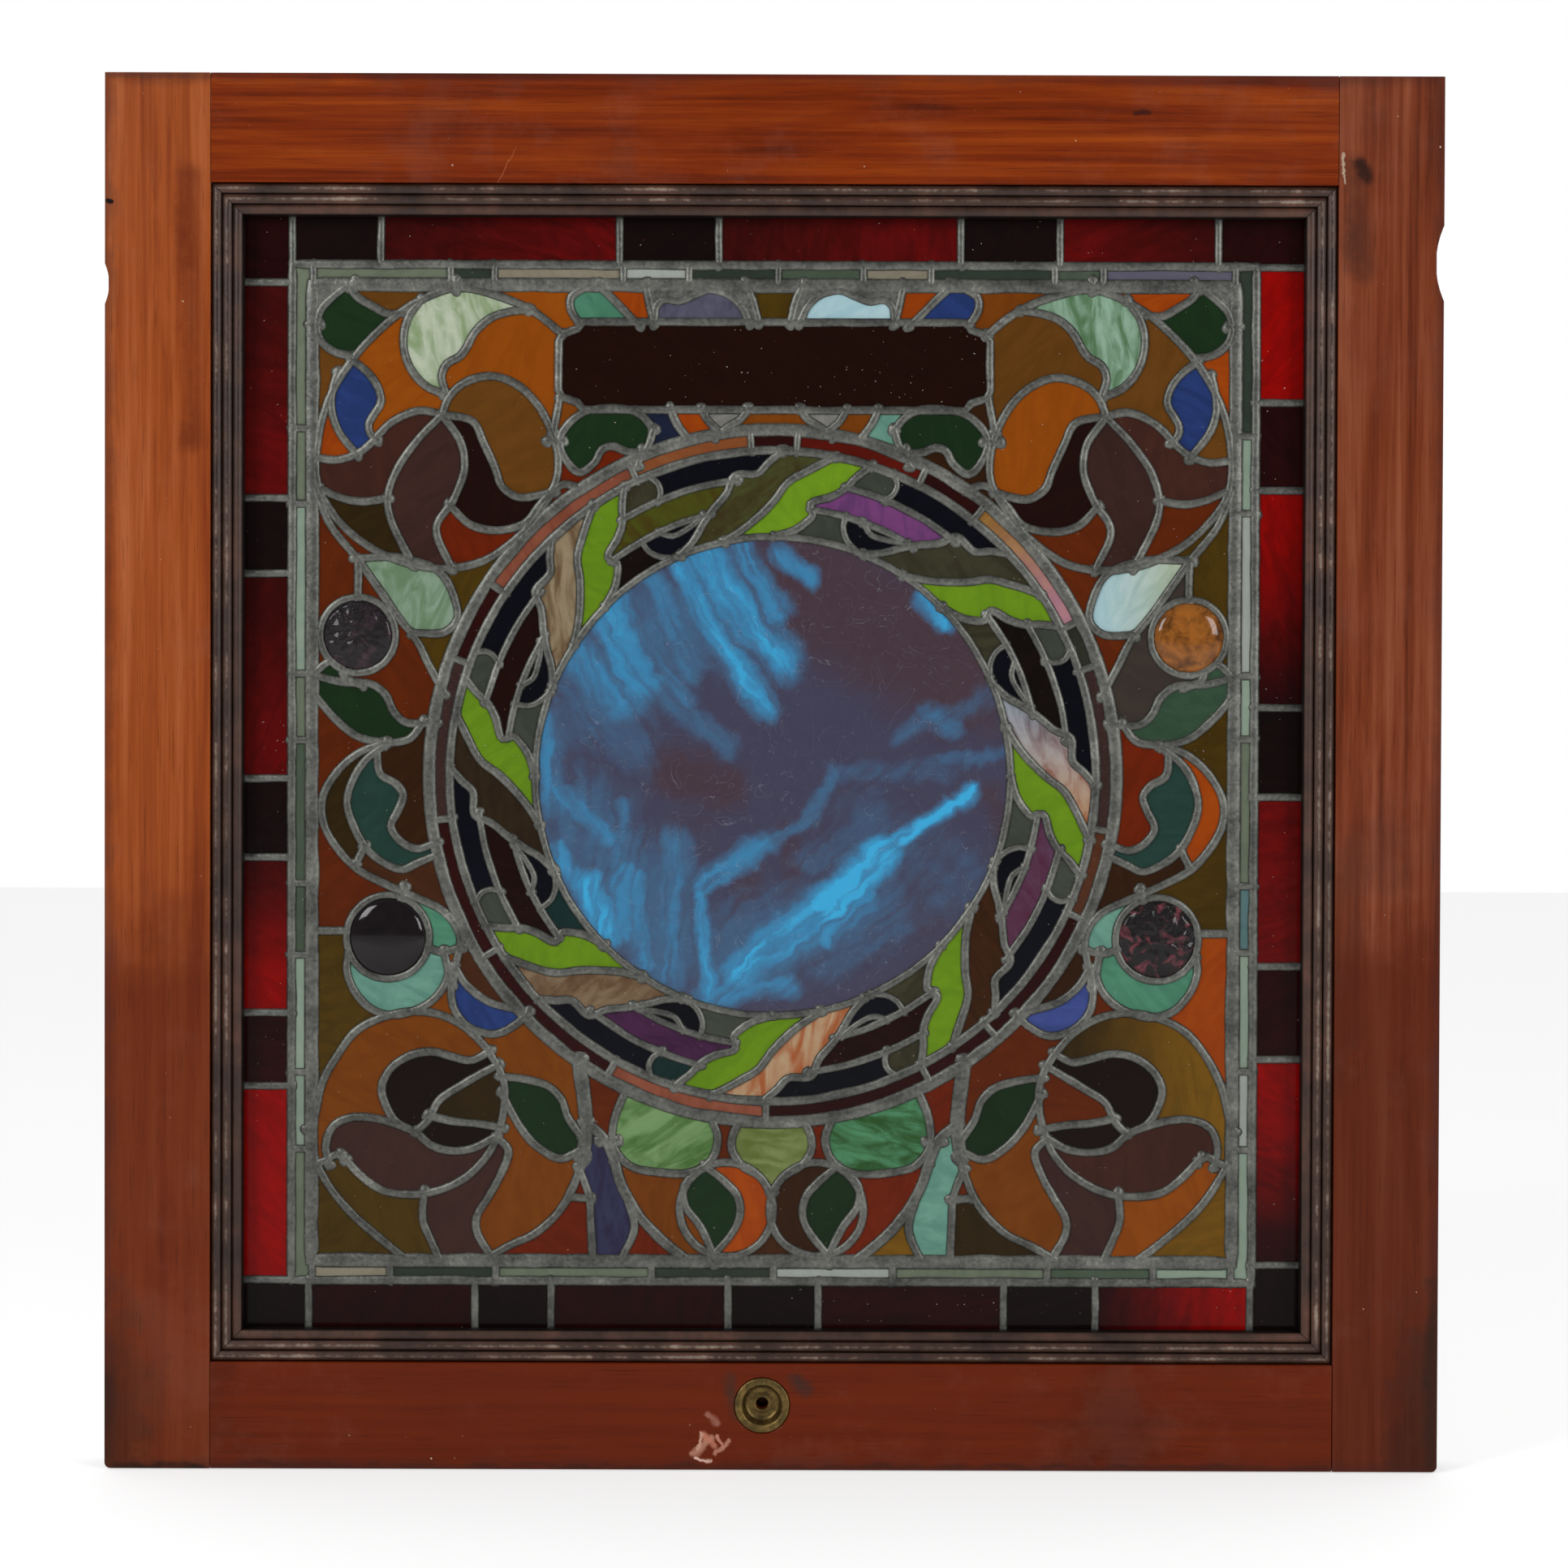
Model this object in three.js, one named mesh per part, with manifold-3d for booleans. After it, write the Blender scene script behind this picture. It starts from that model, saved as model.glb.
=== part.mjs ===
// A leaded stained glass sash: a mahogany frame, a reeded glazing bead and a panel of
// scrolls, flowers and jewels round a wreathed disc.
// Millimetres, X to the right, Y to the back, Z up. The origin is under the middle of the sash.
import * as THREE from 'three';
import { mergeVertices } from 'three/addons/utils/BufferGeometryUtils.js';
import Module from 'manifold-3d';

const wasm = await Module();
wasm.setup();

// Sash
const sashWidth = 762;
const sashHeight = 796;
const sashThickness = 35;
const stileWidth = 60;
const topRailWidth = 62;
const bottomRailWidth = 61;
const lipWidth = 15;
const jointGap = 0.3;
const tenonLength = 30;
const tenonThickness = 11;
const tenonShoulder = 12;

// Glazing bead
const beadWidth = 17.5;
const beadSetBack = 1.5;
const reedCount = 3;
const reedRise = 1.7;
const reedStep = 1.3;

// Leaded panel
const panelSetBack = 15.5;
const cameDepth = 6.6;
const glassThickness = 3;
const panelClearance = 1.5;
const edgeCameWidth = 6;
const borderGlassWidth = 24.4;
const borderCameWidth = 5.1;
const stripGlassWidth = 5.1;
const fieldCameWidth = 7.8;
const cameWidth = 4.6;
const crossCameWidth = 4.2;
const branchWidth = 8;
const footBranchWidth = 6;

// Fineness of the curves: the sag and the turn, in radians, that one straight stretch may hide
const cameSag = 1.2;
const cameTurn = 0.9;
const mergeDistance = 0.1;

// Rings of the wreathed disc, from the outer ring inwards. The radius is of the came's middle.
const outerCame = { radius: 198, width: 7 };
const narrowGlassWidth = 5.95;
const wreathCameWidth = 5.1;
const wreathGlassWidth = 44.45;
const discCameWidth = 4.2;
const ringDrop = 1;
const motifCount = 8;
const firstMotif = 40;

// Round jewels
const jewelCameWidth = 4.4;
const jewelRim = 3;
const jewelCrown = 7;
const jewelSides = 14;
const upperJewel = { at: [-239, 79], radius: 21.6 };
const lowerJewel = { at: [-221.5, -93.5], radius: 23.8 };

// Brass finger cup in the bottom rail
const cupOffset = -5;
const cupHeight = 37;
const cupFlange = { diameter: 31.7, thickness: 1.2 };
const cupBody = { diameter: 25, depth: 9 };
const cupRecess = 22.4;
const cupHole = 6.6;
const cupClearance = 0.3;
const boltHoleDepth = 22;

// Damage to the stiles' outer edges, as height above the sill, length and depth
const rightChip = { height: 690, length: 43, depth: 4.6, reach: 24 };
const leftNotch = { height: 676, length: 23, depth: 2.4, reach: 12 };

const mahogany = { color: 0x6b2a12, roughness: 0.45, metalness: 0 };
const darkMahogany = { color: 0x24100a, roughness: 0.5, metalness: 0 };
const leadGrey = { color: 0x6a6b66, roughness: 0.55, metalness: 0.8 };
const oldBrass = { color: 0x9c8148, roughness: 0.4, metalness: 0.9 };
const glassColours = {
  ruby: 0x8a1010, amber: 0xa8540c, green: 0x2f6a2c, plum: 0x4a2228, opal: 0xb9c8b4,
  blue: 0x3b6f9c, dark: 0x15100f, sage: 0x7d8a74,
};

// Sizes that follow from those above
const openingHalfWidth = sashWidth / 2 - stileWidth;
const openingHalfHeight = (sashHeight - topRailWidth - bottomRailWidth) / 2;
const panelHeight = bottomRailWidth + openingHalfHeight;
const sashFront = -sashThickness / 2;
const cameFront = sashFront + panelSetBack;
const cameBack = cameFront + cameDepth;
const flange = (cameDepth - glassThickness) / 2;
const lipFront = cameBack + jointGap;

// The panel's rectangles, from the edge inwards, as half sizes of the middle of each came
const inset = (distance) => [openingHalfWidth - distance, openingHalfHeight - distance];
const edgeLine = inset(panelClearance + edgeCameWidth / 2);
const borderLine = inset(beadWidth + borderGlassWidth + borderCameWidth / 2);
const fieldEdge = beadWidth + borderGlassWidth + borderCameWidth + stripGlassWidth + fieldCameWidth;
const fieldLine = inset(fieldEdge - fieldCameWidth / 2);
const field = inset(fieldEdge);

// The rings' radii
const wreathRadius = outerCame.radius - outerCame.width / 2 - narrowGlassWidth - wreathCameWidth / 2;
const discRadius = wreathRadius - wreathCameWidth / 2 - wreathGlassWidth - discCameWidth / 2;

// The drawing of the field is made for this half size, and fitted to the field
const drawnField = [261.5, 275];
const fit = [field[0] / drawnField[0], field[1] / drawnField[1]];
const fitted = ([x, y]) => new THREE.Vector2(x * fit[0], y * fit[1]);
const mirrored = (points) => points.map(([x, y]) => [-x, y]);

// It is drawn round a ring of this radius, and gives way to the outer ring
const drawnRadius = 198;
const sideShare = (drawnField[0] - outerCame.radius) / (drawnField[0] - drawnRadius);

function placed([x, y]) {
  const spot = new THREE.Vector2(x, y + ringDrop);
  const distance = spot.length();
  const { radius } = outerCame;
  if (distance <= drawnRadius) {
    spot.multiplyScalar(radius / drawnRadius);
  } else {
    const edge = distance * Math.min(...drawnField.map(
      (half, axis) => half / Math.abs(spot.getComponent(axis))));
    const share = (distance - drawnRadius) / (edge - drawnRadius);
    spot.setLength(radius + share * (edge - radius));
  }
  return fitted([spot.x, spot.y - ringDrop]);
}

// Solids

function closedMesh(geometry) {
  geometry.deleteAttribute('normal');
  geometry.deleteAttribute('uv');
  const merged = mergeVertices(geometry, 1e-4);
  const place = merged.attributes.position.array;
  const corners = Array.from(merged.index.array);
  const triangles = [];
  let volume = 0;
  for (let i = 0; i < corners.length; i += 3) {
    const [a, b, c] = corners.slice(i, i + 3);
    if (a === b || b === c || c === a) continue;
    triangles.push([a, b, c]);
    const [p, q, r] = [a, b, c].map((n) => new THREE.Vector3().fromArray(place, 3 * n));
    volume += p.dot(q.cross(r));
  }
  const outward = volume > 0 ? triangles : triangles.map(([a, b, c]) => [a, c, b]);
  return { place, corners: outward.flat() };
}

function solidOf(geometry) {
  const { place, corners } = closedMesh(geometry);
  return new wasm.Manifold(new wasm.Mesh({
    numProp: 3,
    vertProperties: Float32Array.from(place),
    triVerts: Uint32Array.from(corners),
  }));
}

function geometryOf(solid) {
  const mesh = solid.getMesh();
  const geometry = new THREE.BufferGeometry();
  geometry.setAttribute('position', new THREE.BufferAttribute(mesh.vertProperties, 3));
  geometry.setIndex(new THREE.BufferAttribute(mesh.triVerts, 1));
  return geometry;
}

function joined(solids) {
  return solids.reduce((whole, solid) => whole.add(solid)).asOriginal().simplify(mergeDistance);
}

function named(name, geometry, look) {
  const mesh = new THREE.Mesh(geometry, new THREE.MeshStandardMaterial(look));
  mesh.name = name;
  return mesh;
}

// A block between two corners
function block(from, to) {
  const [width, depth, height] = from.map((value, i) => to[i] - value);
  const box = new THREE.BoxGeometry(width, depth, height);
  return solidOf(box.translate(from[0] + width / 2, from[1] + depth / 2, from[2] + height / 2));
}

// A round bar along Y
function bar(x, z, radius, front, back, sides = 24) {
  const round = new THREE.CylinderGeometry(radius, radius, back - front, sides);
  return solidOf(round.translate(x, (front + back) / 2, z));
}

// Wooden sash

function stile(side) {
  const inner = side * openingHalfWidth;
  const outer = side * sashWidth / 2;
  const lipEdge = side * (openingHalfWidth - lipWidth);
  const ordered = (a, b) => [Math.min(a, b), Math.max(a, b)];
  const [left, right] = ordered(inner, outer);
  const [lipLeft, lipRight] = ordered(lipEdge, outer);
  const lipFoot = bottomRailWidth + lipWidth + jointGap;
  const lipTop = sashHeight - topRailWidth - lipWidth - jointGap;
  let wood = joined([
    block([left, sashFront, 0], [right, -sashFront, sashHeight]),
    block([lipLeft, lipFront, lipFoot], [lipRight, -sashFront, lipTop]),
  ]);
  const [mortiseLeft, mortiseRight] = ordered(
    inner - side, inner + side * (tenonLength + jointGap));
  for (const [foot, width] of [[0, bottomRailWidth], [sashHeight - topRailWidth, topRailWidth]]) {
    wood = wood.subtract(block(
      [mortiseLeft, -tenonThickness / 2 - jointGap, foot + tenonShoulder - jointGap],
      [mortiseRight, tenonThickness / 2 + jointGap, foot + width - tenonShoulder + jointGap]));
  }
  return wood.subtract(edgeLoss(side > 0 ? rightChip : leftNotch, outer, side));
}

// A shallow moon-shaped loss at an outer edge
function edgeLoss({ height, length, depth, reach }, outer, side) {
  const radius = (length * length / 4 + depth * depth) / (2 * depth);
  const middle = outer + side * (radius - depth);
  return bar(middle, height, radius, sashFront - 1, sashFront + reach, 64);
}

function rail(foot, width, lipUp) {
  const end = openingHalfWidth - jointGap;
  const lipFoot = lipUp ? foot : foot - lipWidth;
  const lipTop = lipUp ? foot + width + lipWidth : foot + width;
  const tenonEnd = openingHalfWidth + tenonLength;
  return joined([
    block([-end, sashFront, foot], [end, -sashFront, foot + width]),
    block([-end, lipFront, lipFoot], [end, -sashFront, lipTop]),
    block([-tenonEnd, -tenonThickness / 2, foot + tenonShoulder],
      [tenonEnd, tenonThickness / 2, foot + width - tenonShoulder]),
  ]);
}

function bottomRail() {
  const bodyRadius = cupBody.diameter / 2 + cupClearance;
  const flangeRadius = cupFlange.diameter / 2 + cupClearance;
  const seat = sashFront + cupFlange.thickness + cupClearance;
  const floor = sashFront + cupBody.depth + cupClearance;
  return rail(0, bottomRailWidth, true)
    .subtract(bar(cupOffset, cupHeight, flangeRadius, sashFront - 1, seat))
    .subtract(bar(cupOffset, cupHeight, bodyRadius, sashFront - 1, floor))
    .subtract(bar(cupOffset, cupHeight, cupHole / 2, sashFront, sashFront + boltHoleDepth, 12));
}

function brassCup() {
  const flangeRadius = cupFlange.diameter / 2;
  const bodyRadius = cupBody.diameter / 2;
  const recessRadius = cupRecess / 2;
  const wall = bodyRadius - recessRadius;
  const section = [
    [cupHole / 2, cupBody.depth], [bodyRadius, cupBody.depth], [bodyRadius, cupFlange.thickness],
    [flangeRadius, cupFlange.thickness], [flangeRadius, cupFlange.thickness / 2],
    [flangeRadius - wall / 2, 0], [recessRadius + wall, 0], [recessRadius, wall / 2],
    [recessRadius - wall / 2, cupBody.depth - 2 * wall], [recessRadius - 2 * wall, cupBody.depth - wall],
    [cupHole / 2, cupBody.depth - wall], [cupHole / 2, cupBody.depth],
  ];
  const round = new THREE.LatheGeometry(section.map(([r, y]) => new THREE.Vector2(r, y)), 18);
  return solidOf(round.translate(cupOffset, sashFront, cupHeight));
}

// Reeded bead along one side of the opening, mitred at both ends
function bead(turn, halfLength, distance) {
  const section = new THREE.Shape();
  const reedWidth = beadWidth / reedCount;
  const depth = panelSetBack - jointGap - beadSetBack;
  section.moveTo(0, 0);
  section.lineTo(0, depth - reedRise);
  for (let reed = 0; reed < reedCount; reed += 1) {
    const level = depth - reedRise - reed * reedStep;
    const start = reed * reedWidth;
    section.lineTo(start, level);
    section.quadraticCurveTo(start + reedWidth * 0.5, level + 2 * reedRise, start + reedWidth, level);
  }
  section.lineTo(beadWidth, 0);
  section.closePath();
  const strip = new THREE.ExtrudeGeometry(section, { depth: 1, bevelEnabled: false, curveSegments: 5 });
  const place = strip.attributes.position;
  const endGap = jointGap + jointGap * Math.SQRT1_2;
  for (let i = 0; i < place.count; i += 1) {
    const across = place.getX(i);
    const along = (2 * place.getZ(i) - 1) * (halfLength - across - endGap);
    place.setXYZ(i, along, cameFront - jointGap - place.getY(i), distance - jointGap - across);
  }
  return solidOf(strip.rotateY(turn).translate(0, 0, panelHeight));
}

// Leaded panel, drawn flat with its front facing +Z

// Points along a curve, dense enough for its bends
function bends(curve, steps) {
  const even = curve.getPoints(steps);
  const kept = [even[0]];
  let last = 0;
  for (let i = 1; i < even.length; i += 1) {
    const next = Math.min(i + 1, even.length - 1);
    const chord = even[next].clone().sub(even[last]);
    const sag = Math.max(...even.slice(last, next).map(
      (point) => Math.abs(chord.clone().normalize().cross(point.clone().sub(even[last])))));
    const turned = turnBetween(even[last + 1].clone().sub(even[last]), even[next].clone().sub(even[i]));
    if (i === even.length - 1 || sag > cameSag || turned > cameTurn) {
      kept.push(even[i]);
      last = i;
    }
  }
  return kept;
}

function turnBetween(a, b) {
  return a.lengthSq() && b.lengthSq() ? Math.abs(Math.atan2(a.cross(b), a.dot(b))) : 0;
}

function flowing(points) {
  const curve = new THREE.CatmullRomCurve3(
    points.map((point) => new THREE.Vector3(point.x, point.y, 0)), false, 'centripetal');
  const flat = new THREE.Curve();
  flat.getPoint = (t) => {
    const { x, y } = curve.getPoint(t);
    return new THREE.Vector2(x, y);
  };
  return bends(flat, points.length * 8);
}

// The outline of a strip of even width along a line
function ribbon(line, width) {
  const left = [];
  const right = [];
  line.forEach((point, i) => {
    const before = point.clone().sub(line[Math.max(i - 1, 0)]).normalize();
    const after = line[Math.min(i + 1, line.length - 1)].clone().sub(point).normalize();
    const along = before.add(after).normalize();
    const reach = width / 2 / Math.max(0.6, Math.cos(turnBetween(
      i ? point.clone().sub(line[i - 1]) : along, along)));
    const across = new THREE.Vector2(-along.y, along.x).multiplyScalar(reach);
    left.push(point.clone().add(across));
    right.push(point.clone().sub(across));
  });
  return new THREE.Shape([...left, ...right.reverse()]);
}

function frameShape([halfWidth, halfHeight], width) {
  const corners = (grow) => [[-1, -1], [1, -1], [1, 1], [-1, 1]].map(
    ([x, y]) => new THREE.Vector2(x * (halfWidth + grow), y * (halfHeight + grow)));
  const shape = new THREE.Shape(corners(width / 2));
  shape.holes.push(new THREE.Path(corners(-width / 2)));
  return shape;
}

function ringShape(centre, radius, width, sides) {
  const round = (path, r) => {
    const corners = [];
    for (let i = 0; i < sides; i += 1) {
      const angle = 2 * Math.PI * i / sides;
      corners.push(new THREE.Vector2(r[0] * Math.cos(angle), r[1] * Math.sin(angle)).add(centre));
    }
    return path.setFromPoints(corners);
  };
  const shape = round(new THREE.Shape(), fit.map((scale) => radius * scale + width / 2));
  shape.holes.push(round(new THREE.Path(), fit.map((scale) => radius * scale - width / 2)));
  return shape;
}

// Heights count from the back of the cames
function plate(shape, from, to) {
  const slab = new THREE.ExtrudeGeometry(shape, { depth: to - from, bevelEnabled: false });
  return solidOf(slab.translate(0, 0, from));
}

// A came is a shape as a function of its width, so that the glass can be cut with a clearance
const loadBearing = [];
const surface = [];

function came(list, points, width = cameWidth) {
  const line = points.length > 2 ? flowing(points) : points;
  list.push((grow) => ribbon(line, width + 2 * grow));
}

function onBothSides(list, drawn, width) {
  came(list, drawn.map(placed), width);
  came(list, mirrored(drawn).map(placed), width);
}

function ring(list, centre, radius, width, sides) {
  list.push((grow) => ringShape(centre, radius, width + 2 * grow, sides));
}

// Border

for (const [line, width] of [
  [edgeLine, edgeCameWidth], [borderLine, borderCameWidth], [fieldLine, fieldCameWidth],
]) {
  loadBearing.push((grow) => frameShape(line, width + 2 * grow));
}

// A short came across a strip of border, at a place along it
function crossing(list, side, along, inner, outer) {
  const axis = side === 'left' || side === 'right' ? 0 : 1;
  const sign = side === 'left' || side === 'bottom' ? -1 : 1;
  const ends = [inner[axis], outer[axis]].map((distance) => {
    const end = [along * fit[0], along * fit[1]];
    end[axis] = sign * distance;
    return new THREE.Vector2(...end);
  });
  came(list, ends, crossCameWidth);
}

// The border pieces run round the panel like a pinwheel
const pinwheel = { top: -278, right: 290, bottom: 276, left: -290 };
const stripTies = { top: [-161, 51], right: [150, -101], bottom: [-69, 159], left: [154, -104] };
for (const side of Object.keys(pinwheel)) {
  crossing(loadBearing, side, pinwheel[side], borderLine, edgeLine);
  stripTies[side].forEach((along) => crossing(surface, side, along, fieldLine, borderLine));
}

// Wreathed disc

const ringCentre = fitted([0, -ringDrop]);
ring(loadBearing, ringCentre, discRadius, discCameWidth, 28);
ring(loadBearing, ringCentre, wreathRadius, wreathCameWidth, 32);
ring(loadBearing, ringCentre, outerCame.radius, outerCame.width, 32);

const polar = (radius, degrees) => {
  const angle = THREE.MathUtils.degToRad(degrees);
  return [radius * Math.cos(angle), radius * Math.sin(angle) - ringDrop];
};

const narrowRingBreaks = [
  19, 27, 52, 63.5, 86, 94, 115, 146, 160, 187.5, 212, 241, 269, 297.5, 311, 335.5, 351,
];
for (const degrees of narrowRingBreaks) {
  const ends = [wreathRadius, outerCame.radius].map((radius) => fitted(polar(radius, degrees)));
  came(surface, ends, crossCameWidth);
}

// Leaf edges of one motif, as the share of the way out from the disc and the angle from the motif
const motif = {
  leafBack: [[1, -6], [0.8, -1.5], [0.63, 2.2], [0.43, 4.8], [0.27, 7.8], [0.12, 11.5], [0, 17]],
  leafTeeth: [[1, -12.5], [0.65, -9], [0.41, -2.7], [0.29, -3.6], [0.08, 0.3], [0, 5]],
  ribbedEdge: [[1, 3.5], [0.74, 8], [0.74, 12.5], [0.39, 18], [0.1, 24], [0, 28]],
};
const acrossWreath = (share) => discRadius + share * (wreathRadius - discRadius);
for (let k = 0; k < motifCount; k += 1) {
  const turn = firstMotif + 360 * k / motifCount;
  const turned = (points) => points.map(
    ([share, angle]) => fitted(polar(acrossWreath(share), turn + angle)));
  came(loadBearing, turned(motif.leafBack));
  came(surface, turned(motif.leafTeeth));
  came(surface, turned(motif.ribbedEdge));
}

// Plaque, drawn as its left half from the middle of its top to the middle of its foot

const plaqueHalf = [[0, 258], [-110, 258], [-113, 254], [-122, 251], [-124, 247], [-124, 219],
  [-122, 215], [-113, 212], [-110, 208], [0, 208]];
const plaqueLine = [...plaqueHalf, ...mirrored(plaqueHalf.slice(1, -1)).reverse()].map(placed);
const plaqueSeam = plaqueLine[0].clone().lerp(plaqueLine[1], 0.5);
loadBearing.push((grow) => {
  const closed = [plaqueSeam, ...plaqueLine.slice(1), plaqueLine[0], plaqueSeam];
  return ribbon(closed, cameWidth + 2 * grow);
});

// The plaque's lower corners are tied to the flowers beside it
const plaqueTie = [[-123, 215], [-127, 195]];
onBothSides(loadBearing, plaqueTie);

// Upper flowers, drawn on the left

const upperFlower = {
  outerVolute: [[-122, 251], [-139, 264], [-160, 273], [-183, 277], [-209, 267], [-233, 247],
    [-253, 220], [-262, 192], [-262, 164], [-251, 145], [-230, 128], [-201, 118], [-171, 120],
    [-143, 139], [-122, 165], [-111, 163]],
  innerVolute: [[-191, 205], [-187, 215], [-178, 223], [-162, 227], [-148, 222], [-136, 211],
    [-128, 196], [-124, 180], [-126, 165], [-135, 153]],
  sidePetalTop: [[-191, 205], [-204, 207], [-219, 201], [-237, 184], [-250, 179], [-263, 180]],
};
Object.values(upperFlower).forEach((drawn) => onBothSides(loadBearing, drawn));

const upperPetals = {
  sidePetalFoot: [[-262, 163], [-248, 157], [-236, 155], [-222, 157]],
  middleLeft: [[-191, 205], [-206, 189], [-217, 173], [-222, 157], [-220, 145], [-207, 118]],
  middleRight: [[-191, 205], [-180, 189], [-178, 174], [-184, 157], [-194, 140], [-185, 117]],
  innerTop: [[-191, 205], [-173, 201], [-167, 189], [-160, 174], [-156, 164], [-147, 158], [-132, 160]],
  innerFoot: [[-187, 154], [-174, 142], [-159, 139], [-143, 143], [-133, 158]],
  crescentBack: [[-206, 270], [-211, 256], [-209, 243], [-200, 230], [-191, 219], [-190, 206]],
  blueLeafInner: [[-240, 241], [-233, 229], [-229, 214], [-231, 199], [-238, 183]],
  cornerLeafUpper: [[-245, 278], [-235, 271], [-222, 257]],
  cornerLeafLower: [[-264, 256], [-255, 249], [-239, 237]],
};
Object.values(upperPetals).forEach((drawn) => onBothSides(surface, drawn));

// The crescent leaf's inner edge has a row of teeth between its two ends
function toothed({ ends, teeth, depth }) {
  const arc = new THREE.QuadraticBezierCurve(...ends.map((point) => new THREE.Vector2(...point)));
  const points = [];
  for (let i = 0; i <= 2 * teeth; i += 1) {
    const t = i / (2 * teeth);
    const side = arc.getTangent(t);
    const out = i % 2 ? depth : 0;
    points.push([arc.getPoint(t).x + side.y * out, arc.getPoint(t).y - side.x * out]);
  }
  return points;
}
const crescentEdge = { ends: [[-143, 266], [-180, 250], [-189, 206]], teeth: 4, depth: 3 };
onBothSides(surface, toothed(crescentEdge));

// Sides: stem, leaves, scroll and jewels

const sideFrame = {
  stem: [[-264, 163], [-255, 142], [-239, 122], [-217, 91], [-205, 76], [-198, 62], [-189, 45]],
  leafTop: [[-264, 56], [-248, 52], [-231, 51], [-223, 45], [-218, 35], [-211, 29], [-194, 29]],
  scrollOuter: [[-222, 18], [-238, 12], [-251, 1], [-259, -13], [-259, -27], [-252, -41], [-240, -54],
    [-224, -63], [-205, -71], [-188, -80], [-180, -93], [-182, -108], [-184, -121]],
  leafTongue: [[-224, 17], [-209, 20], [-201, 30]],
};
Object.values(sideFrame).forEach((drawn) => onBothSides(loadBearing, drawn));

const sideDetail = {
  paleLeaf: [[-241, 123], [-214, 123], [-192, 115], [-183, 99], [-182, 88], [-189, 81], [-208, 80]],
  leafFoot: [[-222, 17], [-239, 21], [-253, 32], [-264, 45]],
  scrollInner: [[-224, 16], [-235, 7], [-242, -4], [-245, -16], [-241, -31], [-233, -44],
    [-222, -52], [-213, -55], [-204, -51], [-193, -46]],
  tealEdge: [[-228, 14], [-226, 0], [-217, -6], [-213, -12], [-216, -21], [-220, -30],
    [-214, -39], [-205, -43], [-193, -39]],
  aquaLeafFoot: [[-244, -103], [-245, -112], [-241, -124], [-232, -134], [-220, -138],
    [-207, -136], [-194, -128], [-187, -116], [-189, -101]],
  bluePetalFoot: [[-183, -110], [-185, -122], [-183, -135], [-174, -145], [-160, -149],
    [-147, -143], [-140, -136]],
};
Object.values(sideDetail).forEach((drawn) => onBothSides(surface, drawn));

for (const { at, radius } of [upperJewel, lowerJewel]) {
  for (const spot of [at, ...mirrored([at])]) {
    ring(loadBearing, placed(spot), radius * sideShare, jewelCameWidth, jewelSides);
  }
}

// Lower flowers

const bloomFrame = {
  circle: [[-264, -197], [-259, -177], [-251, -162], [-239, -147], [-223, -139], [-208, -136],
    [-191, -138], [-177, -145], [-164, -158], [-155, -174], [-154, -189], [-157, -203],
    [-163, -217], [-174, -229], [-190, -238], [-208, -241], [-224, -239], [-237, -230], [-248, -218]],
  curl: [[-246, -221], [-251, -218], [-256, -221], [-264, -224]],
  lowerLeft: [[-264, -221], [-255, -236], [-245, -249], [-230, -263], [-209, -279]],
  lowerRight: [[-167, -279], [-151, -270], [-136, -263], [-124, -252], [-116, -240], [-111, -227],
    [-109, -213]],
  leafletFoot: [[-108, -214], [-122, -220], [-134, -214], [-145, -202], [-156, -182]],
};
Object.values(bloomFrame).forEach((drawn) => onBothSides(loadBearing, drawn));
const bloomStem = [[-109, -219], [-107, -204], [-108, -188], [-111, -164]];
onBothSides(loadBearing, bloomStem, branchWidth);

const bloomDetail = {
  darkPetal: [[-162, -158], [-173, -164], [-184, -162], [-196, -159], [-208, -161], [-219, -168],
    [-225, -179], [-223, -189], [-217, -199], [-205, -205]],
  fold: [[-205, -205], [-198, -198], [-192, -187], [-180, -179], [-170, -173], [-157, -166]],
  mauvePetal: [[-255, -224], [-257, -213], [-253, -202], [-242, -197], [-226, -198], [-205, -205]],
  tongueLeft: [[-200, -239], [-201, -255], [-197, -266], [-191, -279]],
  tongueRight: [[-159, -208], [-152, -215], [-156, -229], [-163, -242], [-170, -254],
    [-170, -262], [-160, -279]],
  leafletTop: [[-157, -173], [-141, -175], [-128, -179], [-121, -186], [-117, -197], [-108, -210]],
};
Object.values(bloomDetail).forEach((drawn) => onBothSides(surface, drawn));

// Foot of the panel: two branches, buds and twin circles

const footBranch = [[-107, -200], [-97, -208], [-91, -220], [-87, -234], [-78, -250], [-66, -264],
  [-48, -279]];
onBothSides(surface, footBranch, footBranchWidth);
const footDetail = {
  bud: [[-84, -180], [-91, -199], [-91, -213], [-82, -224], [-65, -228], [-47, -228], [-35, -221],
    [-31, -209], [-35, -196]],
  urn: [[-19, -198], [-23, -208], [-23, -215], [-17, -224], [-7, -230], [0, -239]],
  tearOuter: [[-38, -224], [-50, -235], [-50, -246], [-41, -259], [-33, -275]],
  tearInner: [[-38, -224], [-27, -233], [-20, -241], [-18, -251], [-22, -262], [-33, -275]],
  petalOuter: [[-111, -225], [-105, -242], [-104, -259], [-103, -279]],
  petalInner: [[-91, -222], [-83, -244], [-79, -260], [-87, -279]],
};
Object.values(footDetail).forEach((drawn) => onBothSides(surface, drawn));
const twinCircle = { at: [-26, -249], radius: 27 };
for (const spot of [twinCircle.at, ...mirrored([twinCircle.at])]) {
  ring(surface, placed(spot), twinCircle.radius, cameWidth, 14);
}

// Glass

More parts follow.
